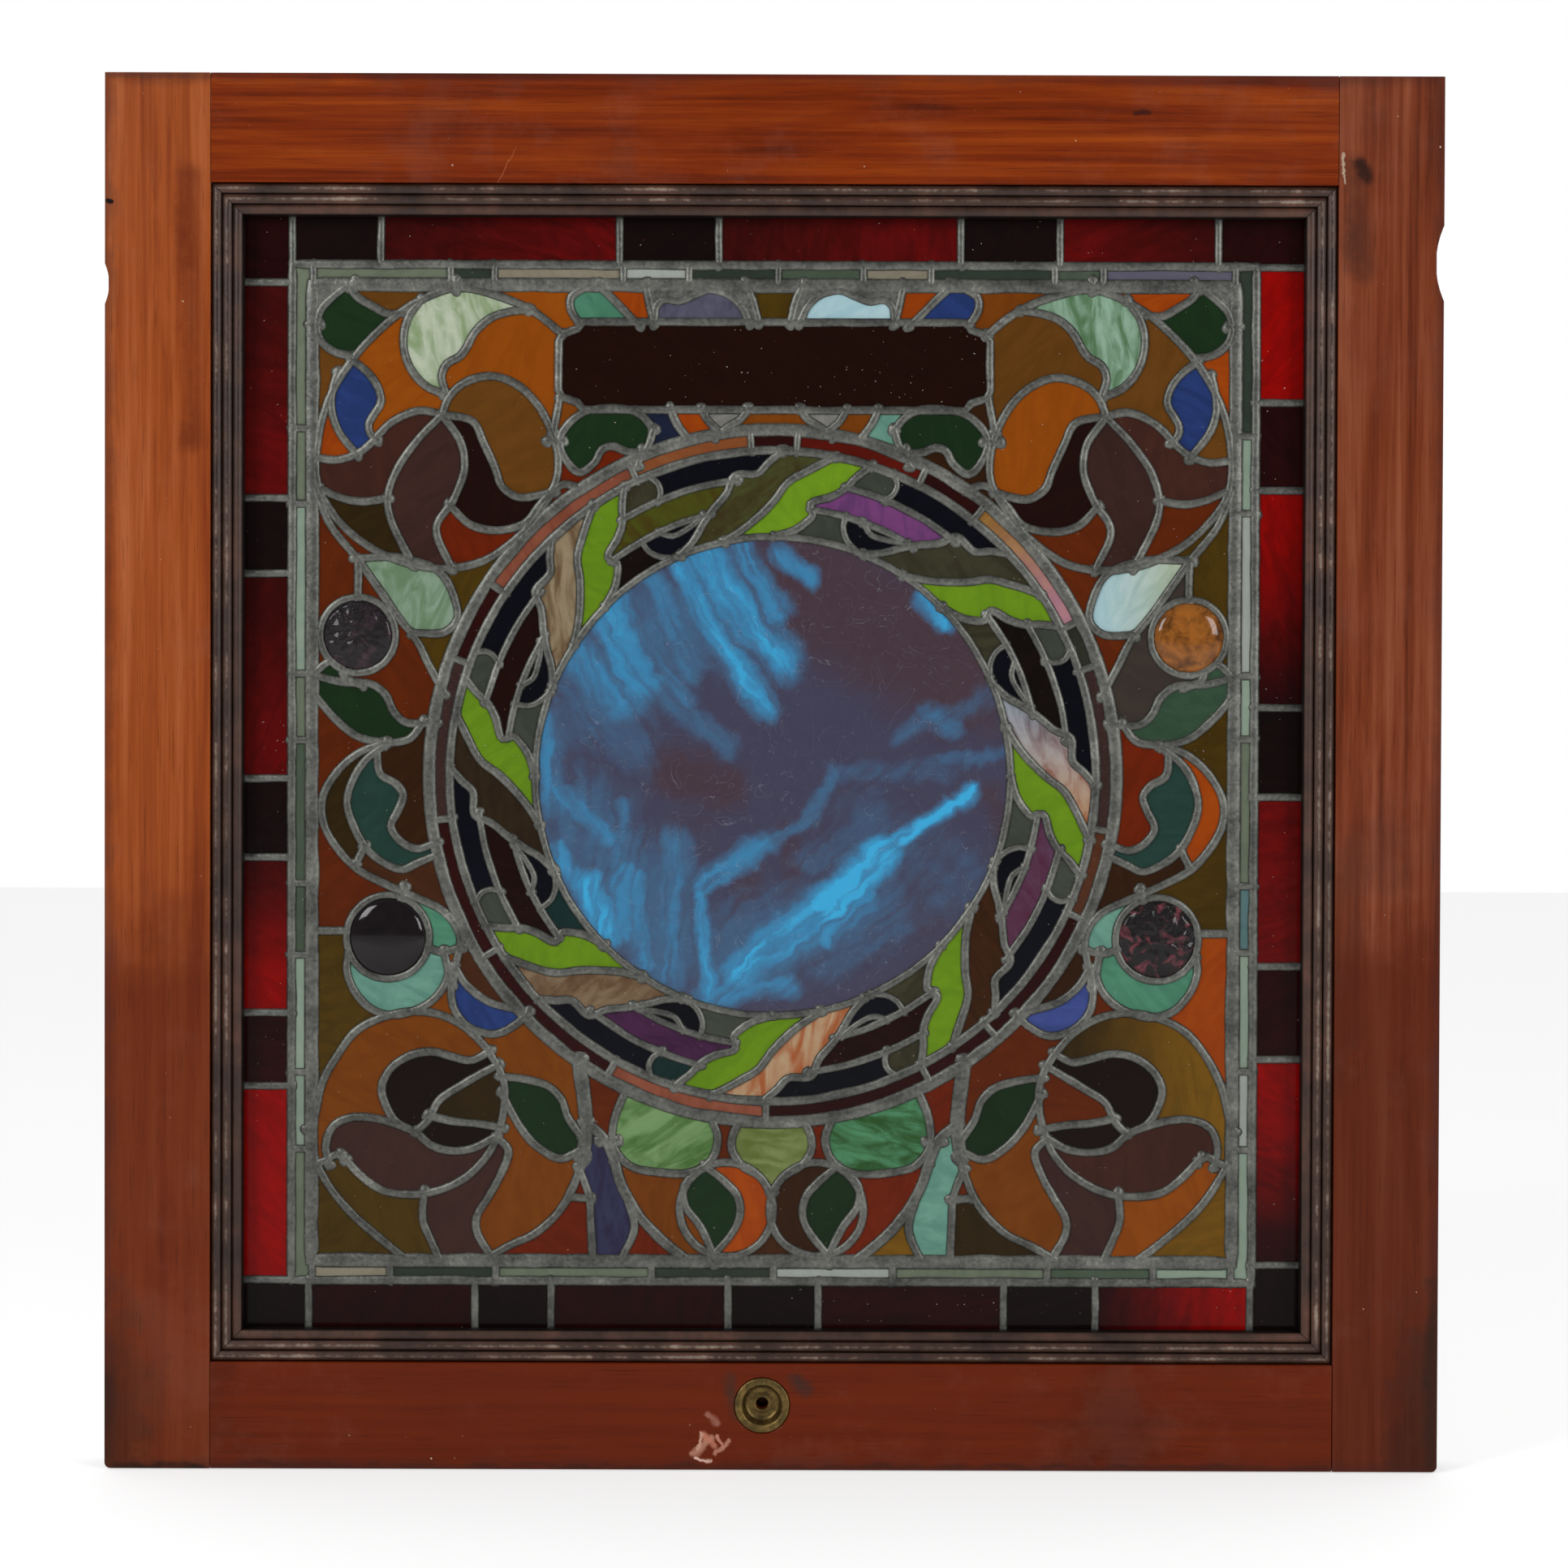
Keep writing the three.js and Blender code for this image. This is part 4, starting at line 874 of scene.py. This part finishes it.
slag = {"ground": "353347", "plum": "3a2a33", "dusk": "345270", "sky": "2f6f96", "bright": "2f93bf"}
slagWarps = (26, 8)  # how far the currents wander, broadly and finely, in mm
slagCurrents = {  # lean of the grain in degrees, then from, to, half width and strength, in mm
    -58: [((-55, 120), (-5, 38), 8, 0.85), ((-42, 125), (6, 64), 12, 0.85), ((-20, 130), (2, 95), 9, 0.65),
          ((-70, 110), (-45, 62), 10, 0.55), ((2, 130), (23, 112), 7, 0.65), ((-97, 95), (-76, 55), 16, 0.78),
          ((-95, 55), (-40, 100), 36, 0.42), ((-115, 70), (-85, 45), 15, 0.66),
          ((-70, 85), (-54, 42), 10, 0.5), ((-62, 40), (-28, 14), 9, 0.42),
          ((-118, 30), (-80, 15), 18, 0.32), ((84, 102), (97, 85), 6, 0.85), ((-124, -12), (-95, -35), 8, 0.6)],
    85: [((-110, -30), (-60, -90), 34, 0.4), ((-130, 30), (-124, -20), 9, 0.65),
         ((-88, -15), (-92, -50), 5, 0.5), ((-124, -45), (-110, -58), 8, 0.75),
         ((-105, -60), (-94, -90), 11, 0.95), ((-85, -55), (-82, -90), 7, 0.65),
         ((-74, -110), (-77, -60), 5, 0.7),
         ((-62, -115), (-55, -40), 13, 0.55), ((-36, -125), (-39, -72), 6, 0.85)],
    40: [((-30, -105), (55, -75), 32, 0.36), ((55, -30), (95, -60), 28, 0.26),
         ((-38, -66), (-5, -38), 9, 0.7), ((-5, -38), (22, -22), 4, 0.48), ((22, -22), (35, 0), 5, 0.44),
         ((35, 0), (100, 3), 8, 0.27), ((-20, -116), (30, -76), 13, 0.9), ((30, -76), (62, -45), 11, 1.15),
         ((62, -45), (112, -8), 5.5, 1.1), ((30, -92), (52, -72), 8, 0.75), ((-38, -128), (8, -122), 8, 0.7),
         ((75, 24), (128, 46), 7, 0.34), ((92, 36), (106, 30), 8, 0.5), ((20, -50), (62, -22), 12, 0.3),
         ((88, -32), (112, -60), 18, 0.24), ((30, -110), (75, -88), 12, 0.3), ((100, 8), (134, 14), 5, 0.4)],
}
plumCurrents = [
    ((15, 112), (110, 62), 40, 1.0), ((-60, 4), (-25, -10), 15, 0.8), ((-70, -30), (-30, -20), 12, 0.4),
    ((75, -75), (95, -80), 14, 0.5), ((125, -10), (130, -30), 10, 0.6), ((8, -30), (12, -70), 8, 0.6),
    ((-10, -50), (-16, -80), 8, 0.6), ((-80, 88), (-55, 55), 7, 0.5),
]


def strokeField(x, y, strokes):
    total = None
    for (x0, y0), (x1, y1), width, strength in strokes:
        length = math.hypot(x1 - x0, y1 - y0)
        alongX, alongY = (x1 - x0) / length, (y1 - y0) / length
        along = (x - x0) * alongX + (y - y0) * alongY
        across = ((y - y0) * alongX - (x - x0) * alongY) / width
        beyond = (along - along.maths("MAXIMUM", 0).maths("MINIMUM", length)) / width
        spread = across.maths("MULTIPLY", across) + beyond.maths("MULTIPLY", beyond)
        stroke = (spread.maths("POWER", 1.25) * -0.8).maths("EXPONENT") * strength
        total = stroke if total is None else total.maths("MAXIMUM", stroke)
    return total


def slagFinish():
    finish = Finish("slag_glass")
    place = finish.coordinates((1000, 1000, 1000), shift=(0, 0, -1000 * panel["middle"] * mm))
    warp = finish.noise(place, 0.02, 4, 0.55, output="Color")
    fineWarp = finish.noise(place, 0.09, 4, 0.6, output="Color")
    (x, _, y), (warpX, _, warpY), (fineX, _, fineY) = (
        finish.split(source, "Vector") for source in (place, warp, fineWarp))
    x = x + (warpX - 0.5) * slagWarps[0] + (fineX - 0.5) * slagWarps[1]
    y = y + (warpY - 0.5) * slagWarps[0] + (fineY - 0.5) * slagWarps[1]
    flow = None
    for lean, strokes in slagCurrents.items():
        turn = math.radians(lean)
        along = x * math.cos(turn) + y * math.sin(turn)
        across = y * math.cos(turn) - x * math.sin(turn)
        grainPlace = finish.node("CombineXYZ", inputs={"X": along * 0.12, "Y": across})
        grain = finish.noise(grainPlace, 0.16, 4, 0.55, 0.3)
        part = strokeField(x, y, strokes) * (finish.window(grain, 0.3, 0.62) * 0.42 + 0.72)
        flow = part if flow is None else flow.maths("MAXIMUM", part)
    veins = finish.noise(place, 0.06, 4, 0.55, 1.2)
    flow = flow + (veins - 0.5) * 0.22
    plum = strokeField(x, y, plumCurrents) + (finish.noise(place, 0.05, 4, 0.6) - 0.5) * 0.5
    ground = finish.mix(finish.window(plum, 0.2, 0.9), display(slag["ground"]), display(slag["plum"]))
    colour = finish.mix(finish.window(flow, 0.08, 0.5), ground, display(slag["dusk"]))
    colour = finish.mix(finish.window(flow, 0.42, 0.8), colour, display(slag["sky"]))
    colour = finish.mix(finish.window(flow, 0.75, 1.1), colour, display(slag["bright"]))
    scratches = finish.window(finish.noise(place, 0.035, 2, 0.5, 2.5), 0.498, 0.502)
    hair = scratches * (1 - finish.window(finish.noise(place, 0.035, 2, 0.5, 2.5), 0.502, 0.506))
    colour = finish.mix(hair * 0.22, colour, display("8d97a4"))
    waves = finish.noise(finish.coordinates(), 40, 3, 0.5)
    return finish.set(Base_Color=colour, Roughness=finish.window(veins, 0.2, 0.8) * 0.1 + 0.22,
                      Normal=finish.bump(waves, 0.0012, 0.4), Specular_IOR_Level=0.25)


def leadFinish():
    finish = Finish("lead")
    place = finish.coordinates()
    broad = finish.noise(place, 45, 4, 0.6)
    fine = finish.noise(place, 420, 4, 0.65)
    colour = finish.ramp(broad * 0.6 + fine * 0.4, [
        (0.30, display("2b2c29")), (0.45, display("4b4c48")), (0.60, display("686963")),
        (0.80, display("a09f98"))])
    return finish.set(Base_Color=colour, Metallic=0.65, Roughness=fine * 0.2 + 0.28,
                      Normal=finish.bump(fine + broad * 1.5, 0.0006, 0.5))


timber = {  # scales of the patterns, their stretch along the grain, and heights and widths in metres
    "figure": (48, 0.07), "streaks": (210, 0.02), "pores": (800, 0.035), "clouds": 8, "spots": 42,
    "wander": 57, "specks": 400, "darkBelow": (0.27, 0.36), "foot": 0.22, "rim": (0.372, 0.382),
    "face": (0.008, 0.014), "middle": 0.398, "rimInset": 0.017,
}


def woodFinish(name, upright, colours, grimeShare):  # colours: dark, warm, pale, and low down
    dark, warm, pale, low = (display(text) for text in colours)
    finish = Finish(name)
    whole = finish.coordinates()
    x, y, z = finish.split(whole, "Vector")
    side = x.maths("ABSOLUTE")
    face = finish.window(y * -1.0, *timber["face"])
    figure, streaks, pores = (
        finish.noise(finish.coordinates((1, 1, pull) if upright else (pull, 1, 1)), scale, detail, 0.6, twist)
        for (scale, pull), detail, twist in (
            (timber["figure"], 5, 1.1), (timber["streaks"], 4, 0), (timber["pores"], 3, 0)))
    clouds = finish.noise(whole, timber["clouds"], 4, 0.6)
    spots = finish.noise(whole, timber["spots"], 5, 0.68)
    wander = finish.noise(whole, timber["wander"], 4, 0.6)
    colour = finish.ramp(figure * 0.5 + streaks * 0.5, [(0.34, dark), (0.49, warm), (0.68, pale)])
    fade = finish.window(z + (clouds - 0.5) * 0.25, *timber["darkBelow"])
    colour = finish.mix((1 - fade) * 0.75, colour, low)
    colour = finish.mix(finish.window(pores, 0.55, 0.72) * 0.4, colour, display("260d06"))
    colour = finish.mix(finish.window(clouds, 0.54, 0.74) * 0.45, colour, dark)
    # faint pinkish-grey patches: a painted sheen of light on the varnish
    paintedSheen = finish.window(spots * 0.5 + clouds * 0.5, 0.5, 0.64)
    colour = finish.mix(paintedSheen * 0.07, colour, display("8c6152"))
    foot = finish.window(side, 0.31, 0.385) * (1 - finish.window(z, 0.0, timber["foot"]))
    grime = finish.window(spots * 0.7 + foot * 0.75 + grimeShare, 0.62, 1.0)
    colour = finish.mix(grime * 0.5, colour, display("20120b"))
    outline = side.maths("MAXIMUM", (z - timber["middle"]).maths("ABSOLUTE") - timber["rimInset"])
    rim = finish.window(outline + (spots - 0.5) * 0.014, *timber["rim"])
    colour = finish.mix(rim * 0.55, colour, display("3a1c18"))
    specks = finish.window(finish.noise(whole, timber["specks"], 1, 0.4), 0.80, 0.82)
    colour = finish.mix(specks * 0.85, colour, display("c9b7a2"))
    for (fromX, fromY), end, width, strength, text in woodMarks:
        home = ("leftStile" if fromX < -321 else "rightStile" if fromX > 321
                else "topRail" if fromY > 0 else "bottomRail")
        if name.endswith(home):
            mark = strokeField(x * 1000 + (spots - 0.5) * 12, z * 1000 + (wander - 0.5) * 12 - panel["middle"],
                               [((fromX, fromY), end, width, strength)])
            shown = finish.window(mark * (spots * 1.4 + 0.3), 0.1, 0.95) * face
            colour = finish.mix(shown, colour, display(text))
    rough = finish.window(clouds, 0.3, 0.7) * 0.14 + 0.24 + grime * 0.3
    return finish.set(Base_Color=colour, Roughness=rough,
                      Normal=finish.bump(pores * 0.35 + figure * 0.3 + spots * 0.2, 0.0005, 0.35),
                      Specular_IOR_Level=0.09)


woodMarks = [  # wear that the photograph shows: from, to, half width, strength and colour, in mm
    ((-43, -388), (-34, -379), 2.2, 0.9, "9c6c58"), ((-38, -376), (-33, -384), 2.0, 0.8, "a86a55"),
    ((-33, -388), (-24, -381), 1.3, 1.0, "9a6855"), ((-36, -366), (-31, -371), 2.2, 0.7, "8f5f50"),
    ((-42, -386), (-39, -376), 1.0, 1.0, "b08470"), ((-31, -377), (-28, -383), 0.9, 1.0, "a8705e"),
    ((-42, -391), (-36, -392), 0.9, 0.9, "c8a494"), ((-156, 336), (-148, 358), 0.35, 0.5, "94583a"),
    ((-377.4, 324), (-376.8, 324), 1.7, 1.2, "140a06"), ((328, 345), (334, 290), 10, 0.6, "3a1e16"),
    ((333, 348), (336, 342), 5, 0.8, "20110d"), ((321, 260), (324, 60), 9, 0.72, "3d1b11"),
    ((322, -60), (323, -180), 6, 0.4, "3d1b11"), ((322.5, 353), (323, 338), 0.8, 0.9, "9d8874"),
    ((-24, -345), (-20, -365), 5, 0.55, "30261f"), ((14, -345), (20, -352), 5, 0.6, "2a2420"),
    ((-384, -350), (-386, -396), 13, 0.62, "28170f"), ((-333, 340), (-331, 190), 9, 0.6, "5a230f"),
    ((-376, -396), (-325, -397), 3, 0.7, "22140e"), ((379, -290), (377, -392), 5, 0.6, "2c1a12"),
    ((-318, -396), (318, -396), 2.5, 0.5, "30160e"), ((331, -40), (333, -150), 8, 0.4, "431d13"),
    ((-380, 398), (-300, 396), 2.5, 0.5, "4a2c22"), ((205, 378), (212, 378), 2, 0.8, "35130a"),
]


def beadFinish():
    finish = Finish("dark_bead")
    ridge, depth, _ = finish.split(finish.attribute("ridge"))
    place = finish.coordinates()
    patches = finish.noise(place, 38, 5, 0.65)
    fine = finish.noise(place, 300, 4, 0.6)
    inner = finish.window(depth, 0.62, 0.72)
    # pale on the reed crests: worn varnish, and a painted highlight along the crests
    wornAndHighlit = finish.window(ridge + (patches - 0.5) * 0.9 + (fine - 0.5) * 0.5 - inner * 0.3, 0.90, 1.25)
    colour = finish.ramp(patches, [(0.3, display("20130d")), (0.52, display("38231a")),
                                   (0.75, display("523225"))])
    colour = finish.mix(wornAndHighlit * 0.6, colour, display("978a7c"))
    # near-black in the grooves between the reeds and down the back edges: painted shade
    groove = finish.window(ridge, 0.0, 0.35)
    colour = finish.mix(1 - groove, colour, display("0d0806"))
    return finish.set(Base_Color=colour, Roughness=patches * 0.25 + 0.30,
                      Normal=finish.bump(fine, 0.0005, 0.4), Specular_IOR_Level=0.3)


def brassFinish():
    finish = Finish("old_brass")
    place = finish.coordinates()
    broad = finish.noise(place, 160, 4, 0.6)
    fine = finish.noise(place, 900, 3, 0.6)
    colour = finish.ramp(broad * 0.7 + fine * 0.3, [
        (0.3, display("2a2112")), (0.5, display("5c4b28")), (0.66, display("80693a")),
        (0.85, display("a8925c"))])
    return finish.set(Base_Color=colour, Metallic=0.85, Roughness=fine * 0.25 + 0.28,
                      Normal=finish.bump(fine, 0.0003, 0.3))


def jewelFinish(name, tint, deep, cut):
    finish = Finish(name)
    place = finish.coordinates()
    cloud = finish.noise(place, 120, 4, 0.55, 0.8)
    colour = finish.mix(finish.window(cloud, *cut["share"]), display(tint), display(deep))
    fine = finish.noise(place, 650, 3, 0.6, 0.5)
    return finish.set(Base_Color=colour, Roughness=cut["roughness"], Coat_Weight=0.28, Coat_Roughness=0.04,
                      Normal=finish.bump(fine, 0.001, cut["bumps"]), Specular_IOR_Level=0.12)


# ---- the leaded panel
glass = glassFinish()
zones = {
    "borderGlass": ("border", ["glass_border_top", "glass_border_right", "glass_border_bottom",
                               "glass_border_left"]),
    "stripGlass": ("strip", ["glass_inner_strip"]),
    "ringGlass": ("ring", ["glass_narrow_ring"]),
    "wreathGlass": ("wreath", [f"glass_wreath_{k}" for k in range(1, 9)]),
    "plaqueGlass": ("plaque", ["glass_plaque"]),
    "leftFieldGlass": ("fieldLeft", ["glass_above_plaque", "glass_foot"]),
    "rightFieldGlass": ("fieldRight", ["glass_below_plaque"]),
}
fieldNodes = ["flower_upper", "flower_lower", "corner_upper", "side_upper", "stem_outer", "stem_inner",
              "side_leaf", "side_scroll", "side_lower", "bloom", "bloom_foot", "corner_lower"]
slots = {"plaqueGlass": "dark_glass"}
for name, (zone, nodes) in zones.items():
    chosen = [pane for pane in panes if pane["zone"] == zone and pane["kind"] not in (None, "solder")]
    piece = glassPiece(name, chosen)
    side = {"fieldLeft": "left", "fieldRight": "right"}.get(zone)
    if side:
        nodes = nodes + [f"glass_{node}_{side}" for node in fieldNodes]
    placed(piece, glass, slots.get(name, "art_glass"), *nodes)
discPiece = lathe("discGlass", [(0, -0.2), (40, -0.35), (90, -0.3), (136.9, -0.2), (136.9, 2.8), (0, 2.8)],
                  (0, (panel["middle"] - panel["ringDrop"]) * mm), 96)
smoothByAngle(discPiece, 40)
placed(discPiece, slagFinish(), "slag_glass", "glass_disc")
print("glass made")

lead = leadFinish()
leadFaces, leadBacks = leadRibbons(True), leadRibbons(False)
for piece in (leadFaces, leadBacks):
    smoothByAngle(piece, 60)
    placed(piece, lead, "lead", "lead_cames")
print("leads made:", len(leadFaces.data.polygons), "faces in front")

jewelCuts = {  # height of the crown in mm, and where the second tint shows; lumps are scale and height
    "rough": {"crown": 4.6, "roughness": 0.16, "bumps": 0.8, "share": (0.48, 0.80),
              "lumps": ((260, 0.9), (700, 0.35))},
    "smooth": {"crown": 5.6, "roughness": 0.07, "bumps": 0.05, "share": (0.3, 0.72), "lumps": ()},
}
jewelForm = {"steps": 16, "overlap": 0.6, "powers": (0.92, 0.8), "back": 2.6, "sides": 72, "lumpsFrom": 2.5}
jewels = {
    "jewel_upper_left": ("upperJewel", -1, "rough", "100a0e", "38222c"),
    "jewel_upper_right": ("upperJewel", 1, "smooth", "87501a", "4c2a0c"),
    "jewel_lower_left": ("lowerJewel", -1, "smooth", "0a0608", "120a0c"),
    "jewel_lower_right": ("lowerJewel", 1, "rough", "0a0608", "7a3842"),
}
for node, (place, side, cutName, tint, deep) in jewels.items():
    (x, y), radius, width = circles[place]
    centre = fitted((-side * x, y))
    cut, steps, (flare, dome) = jewelCuts[cutName], jewelForm["steps"], jewelForm["powers"]
    edge = radius - width / 2 + jewelForm["overlap"]
    profile = [(edge * math.sin(math.pi / 2 * i / steps) ** flare,
                panel["glassFront"] - cut["crown"] * math.cos(math.pi / 2 * i / steps) ** dome)
               for i in range(steps + 1)]
    profile = profile + [(edge, jewelForm["back"]), (0, jewelForm["back"])]
    piece = lathe(node.replace("jewel_", "jewel.").replace("_", "."), profile,
                  (centre.x * mm, (panel["middle"] + centre.y) * mm), jewelForm["sides"])
    for vertex in piece.data.vertices:
        spot = vertex.co
        if cut["lumps"] and spot.y < 0:
            lump = sum(noise.noise(spot * scale) * height for scale, height in cut["lumps"])
            vertex.co.y += lump * mm * min(1, -spot.y / (jewelForm["lumpsFrom"] * mm))
    smoothByAngle(piece, 60)
    placed(piece, jewelFinish(node, tint, deep, cut), "jewel_glass", node)

# ---- the sash
woods = {
    "stile_left": ("leftStile", True, ("6a2b10", "864019", "9a5530", "521a08"), 0.0),
    "stile_right": ("rightStile", True, ("431809", "672e17", "80462e", "4c1806"), 0.04),
    "rail_top": ("topRail", False, ("3c1003", "682305", "863809", "602006"), -0.05),
    "rail_bottom": ("bottomRail", False, ("300b02", "5a1c04", "762c08", "5a1c04"), 0.0),
}
for node, (name, upright, colours, grimeShare) in woods.items():
    piece = dressed(node, name)
    placed(piece, woodFinish("mahogany_" + name, upright, colours, grimeShare), "mahogany", node)
darkBead = beadFinish()
for turn, side in enumerate(("top", "right", "bottom", "left")):
    placed(reededBead(side + "Bead", turn), darkBead, "dark_bead", f"bead_{side}")

cup = {"at": (-5.0, 37.0), "front": -17.5, "flange": 15.85, "recess": 11.2, "body": 12.5, "depth": 9.0,
       "hole": 3.3}
front = cup["front"]
cupProfile = [
    (cup["hole"], front + cup["depth"]), (cup["body"], front + cup["depth"]), (cup["body"], front + 1.2),
    (cup["flange"], front + 1.2), (cup["flange"], front + 0.7), (cup["flange"] - 0.35, front + 0.25),
    (cup["flange"] - 1.0, front), (cup["recess"] + 1.6, front), (cup["recess"] + 0.9, front + 0.15),
    (cup["recess"] + 0.2, front + 0.8), (cup["recess"] - 0.3, front + 2.0),
    (cup["recess"] - 0.9, front + 5.8), (cup["recess"] - 1.8, front + 7.1), (cup["recess"] - 3.4, front + 7.7),
    (cup["hole"] + 2.4, front + 7.7), (cup["hole"] + 1.2, front + 7.0), (cup["hole"] + 0.4, front + 7.0),
    (cup["hole"], front + 7.5), (cup["hole"], front + cup["depth"]),
]
cupPiece = lathe("fingerCup", cupProfile, (cup["at"][0] * mm, cup["at"][1] * mm), 72)
smoothByAngle(cupPiece, 45)
placed(cupPiece, brassFinish(), "old_brass", "brass_cup")
print("sash made")

# ---- floor, light and camera
bpy.ops.mesh.primitive_plane_add(size=14, location=(0, 0, -0.0005))
floor = bpy.context.object
floor.name = "floor"
paleFloor = Finish("pale_floor").set(Base_Color=(0.58, 0.58, 0.58), Roughness=0.8, Specular_IOR_Level=0.2,
                                     Emission_Color=(1, 1, 1), Emission_Strength=0.5)
floor.data.materials.append(paleFloor)

world = bpy.data.worlds.new("studio")  # pale behind the window, dim behind the camera
bpy.context.scene.world = world
world.use_nodes = True
backdrop = world.node_tree.nodes["Background"]
where = world.node_tree.nodes.new("ShaderNodeTexCoord")
axes = world.node_tree.nodes.new("ShaderNodeSeparateXYZ")
shade = world.node_tree.nodes.new("ShaderNodeMapRange")
world.node_tree.links.new(where.outputs["Generated"], axes.inputs[0])
world.node_tree.links.new(axes.outputs["Y"], shade.inputs["Value"])
for title, value in (("From Min", -0.5), ("From Max", 0.5), ("To Min", 0.3), ("To Max", 1.0)):
    shade.inputs[title].default_value = value
world.node_tree.links.new(shade.outputs[0], backdrop.inputs["Strength"])
backdrop.inputs["Color"].default_value = (1, 1, 1, 1)


def softBox(name, place, aim, size, power):
    lamp = bpy.data.lights.new(name, "AREA")
    lamp.shape = "RECTANGLE"
    lamp.size, lamp.size_y = size
    lamp.energy = power
    box = bpy.data.objects.new(name, lamp)
    bpy.context.collection.objects.link(box)
    box.location = place
    box.rotation_euler = (Vector(aim) - Vector(place)).to_track_quat("-Z", "Y").to_euler()


softBox("keyLight", (-1.5, -1.7, 1.5), (0, 0, 0.4), (0.8, 1.0), 31)
softBox("fillLight", (1.6, -1.7, 1.1), (0, 0, 0.4), (0.7, 0.9), 22)

view = {"lens": 85, "distance": 2.128, "height": 0.398, "rise": 0.034, "roll": 0.19,
        "shift": (0.0071, -0.0065)}
lens = bpy.data.cameras.new("camera")
lens.lens = view["lens"]
lens.sensor_width = 36
lens.shift_x, lens.shift_y = view["shift"]
camera = bpy.data.objects.new("camera", lens)
bpy.context.collection.objects.link(camera)
camera.location = (0, -view["distance"], view["height"] + view["rise"])
aim = Vector((0, 0, view["height"])) - camera.location
camera.rotation_euler = (aim.to_track_quat("-Z", "Y").to_matrix()
                         @ Matrix.Rotation(math.radians(view["roll"]), 3, "Z")).to_euler()
bpy.context.scene.camera = camera
bpy.context.scene.view_settings.view_transform = "Standard"
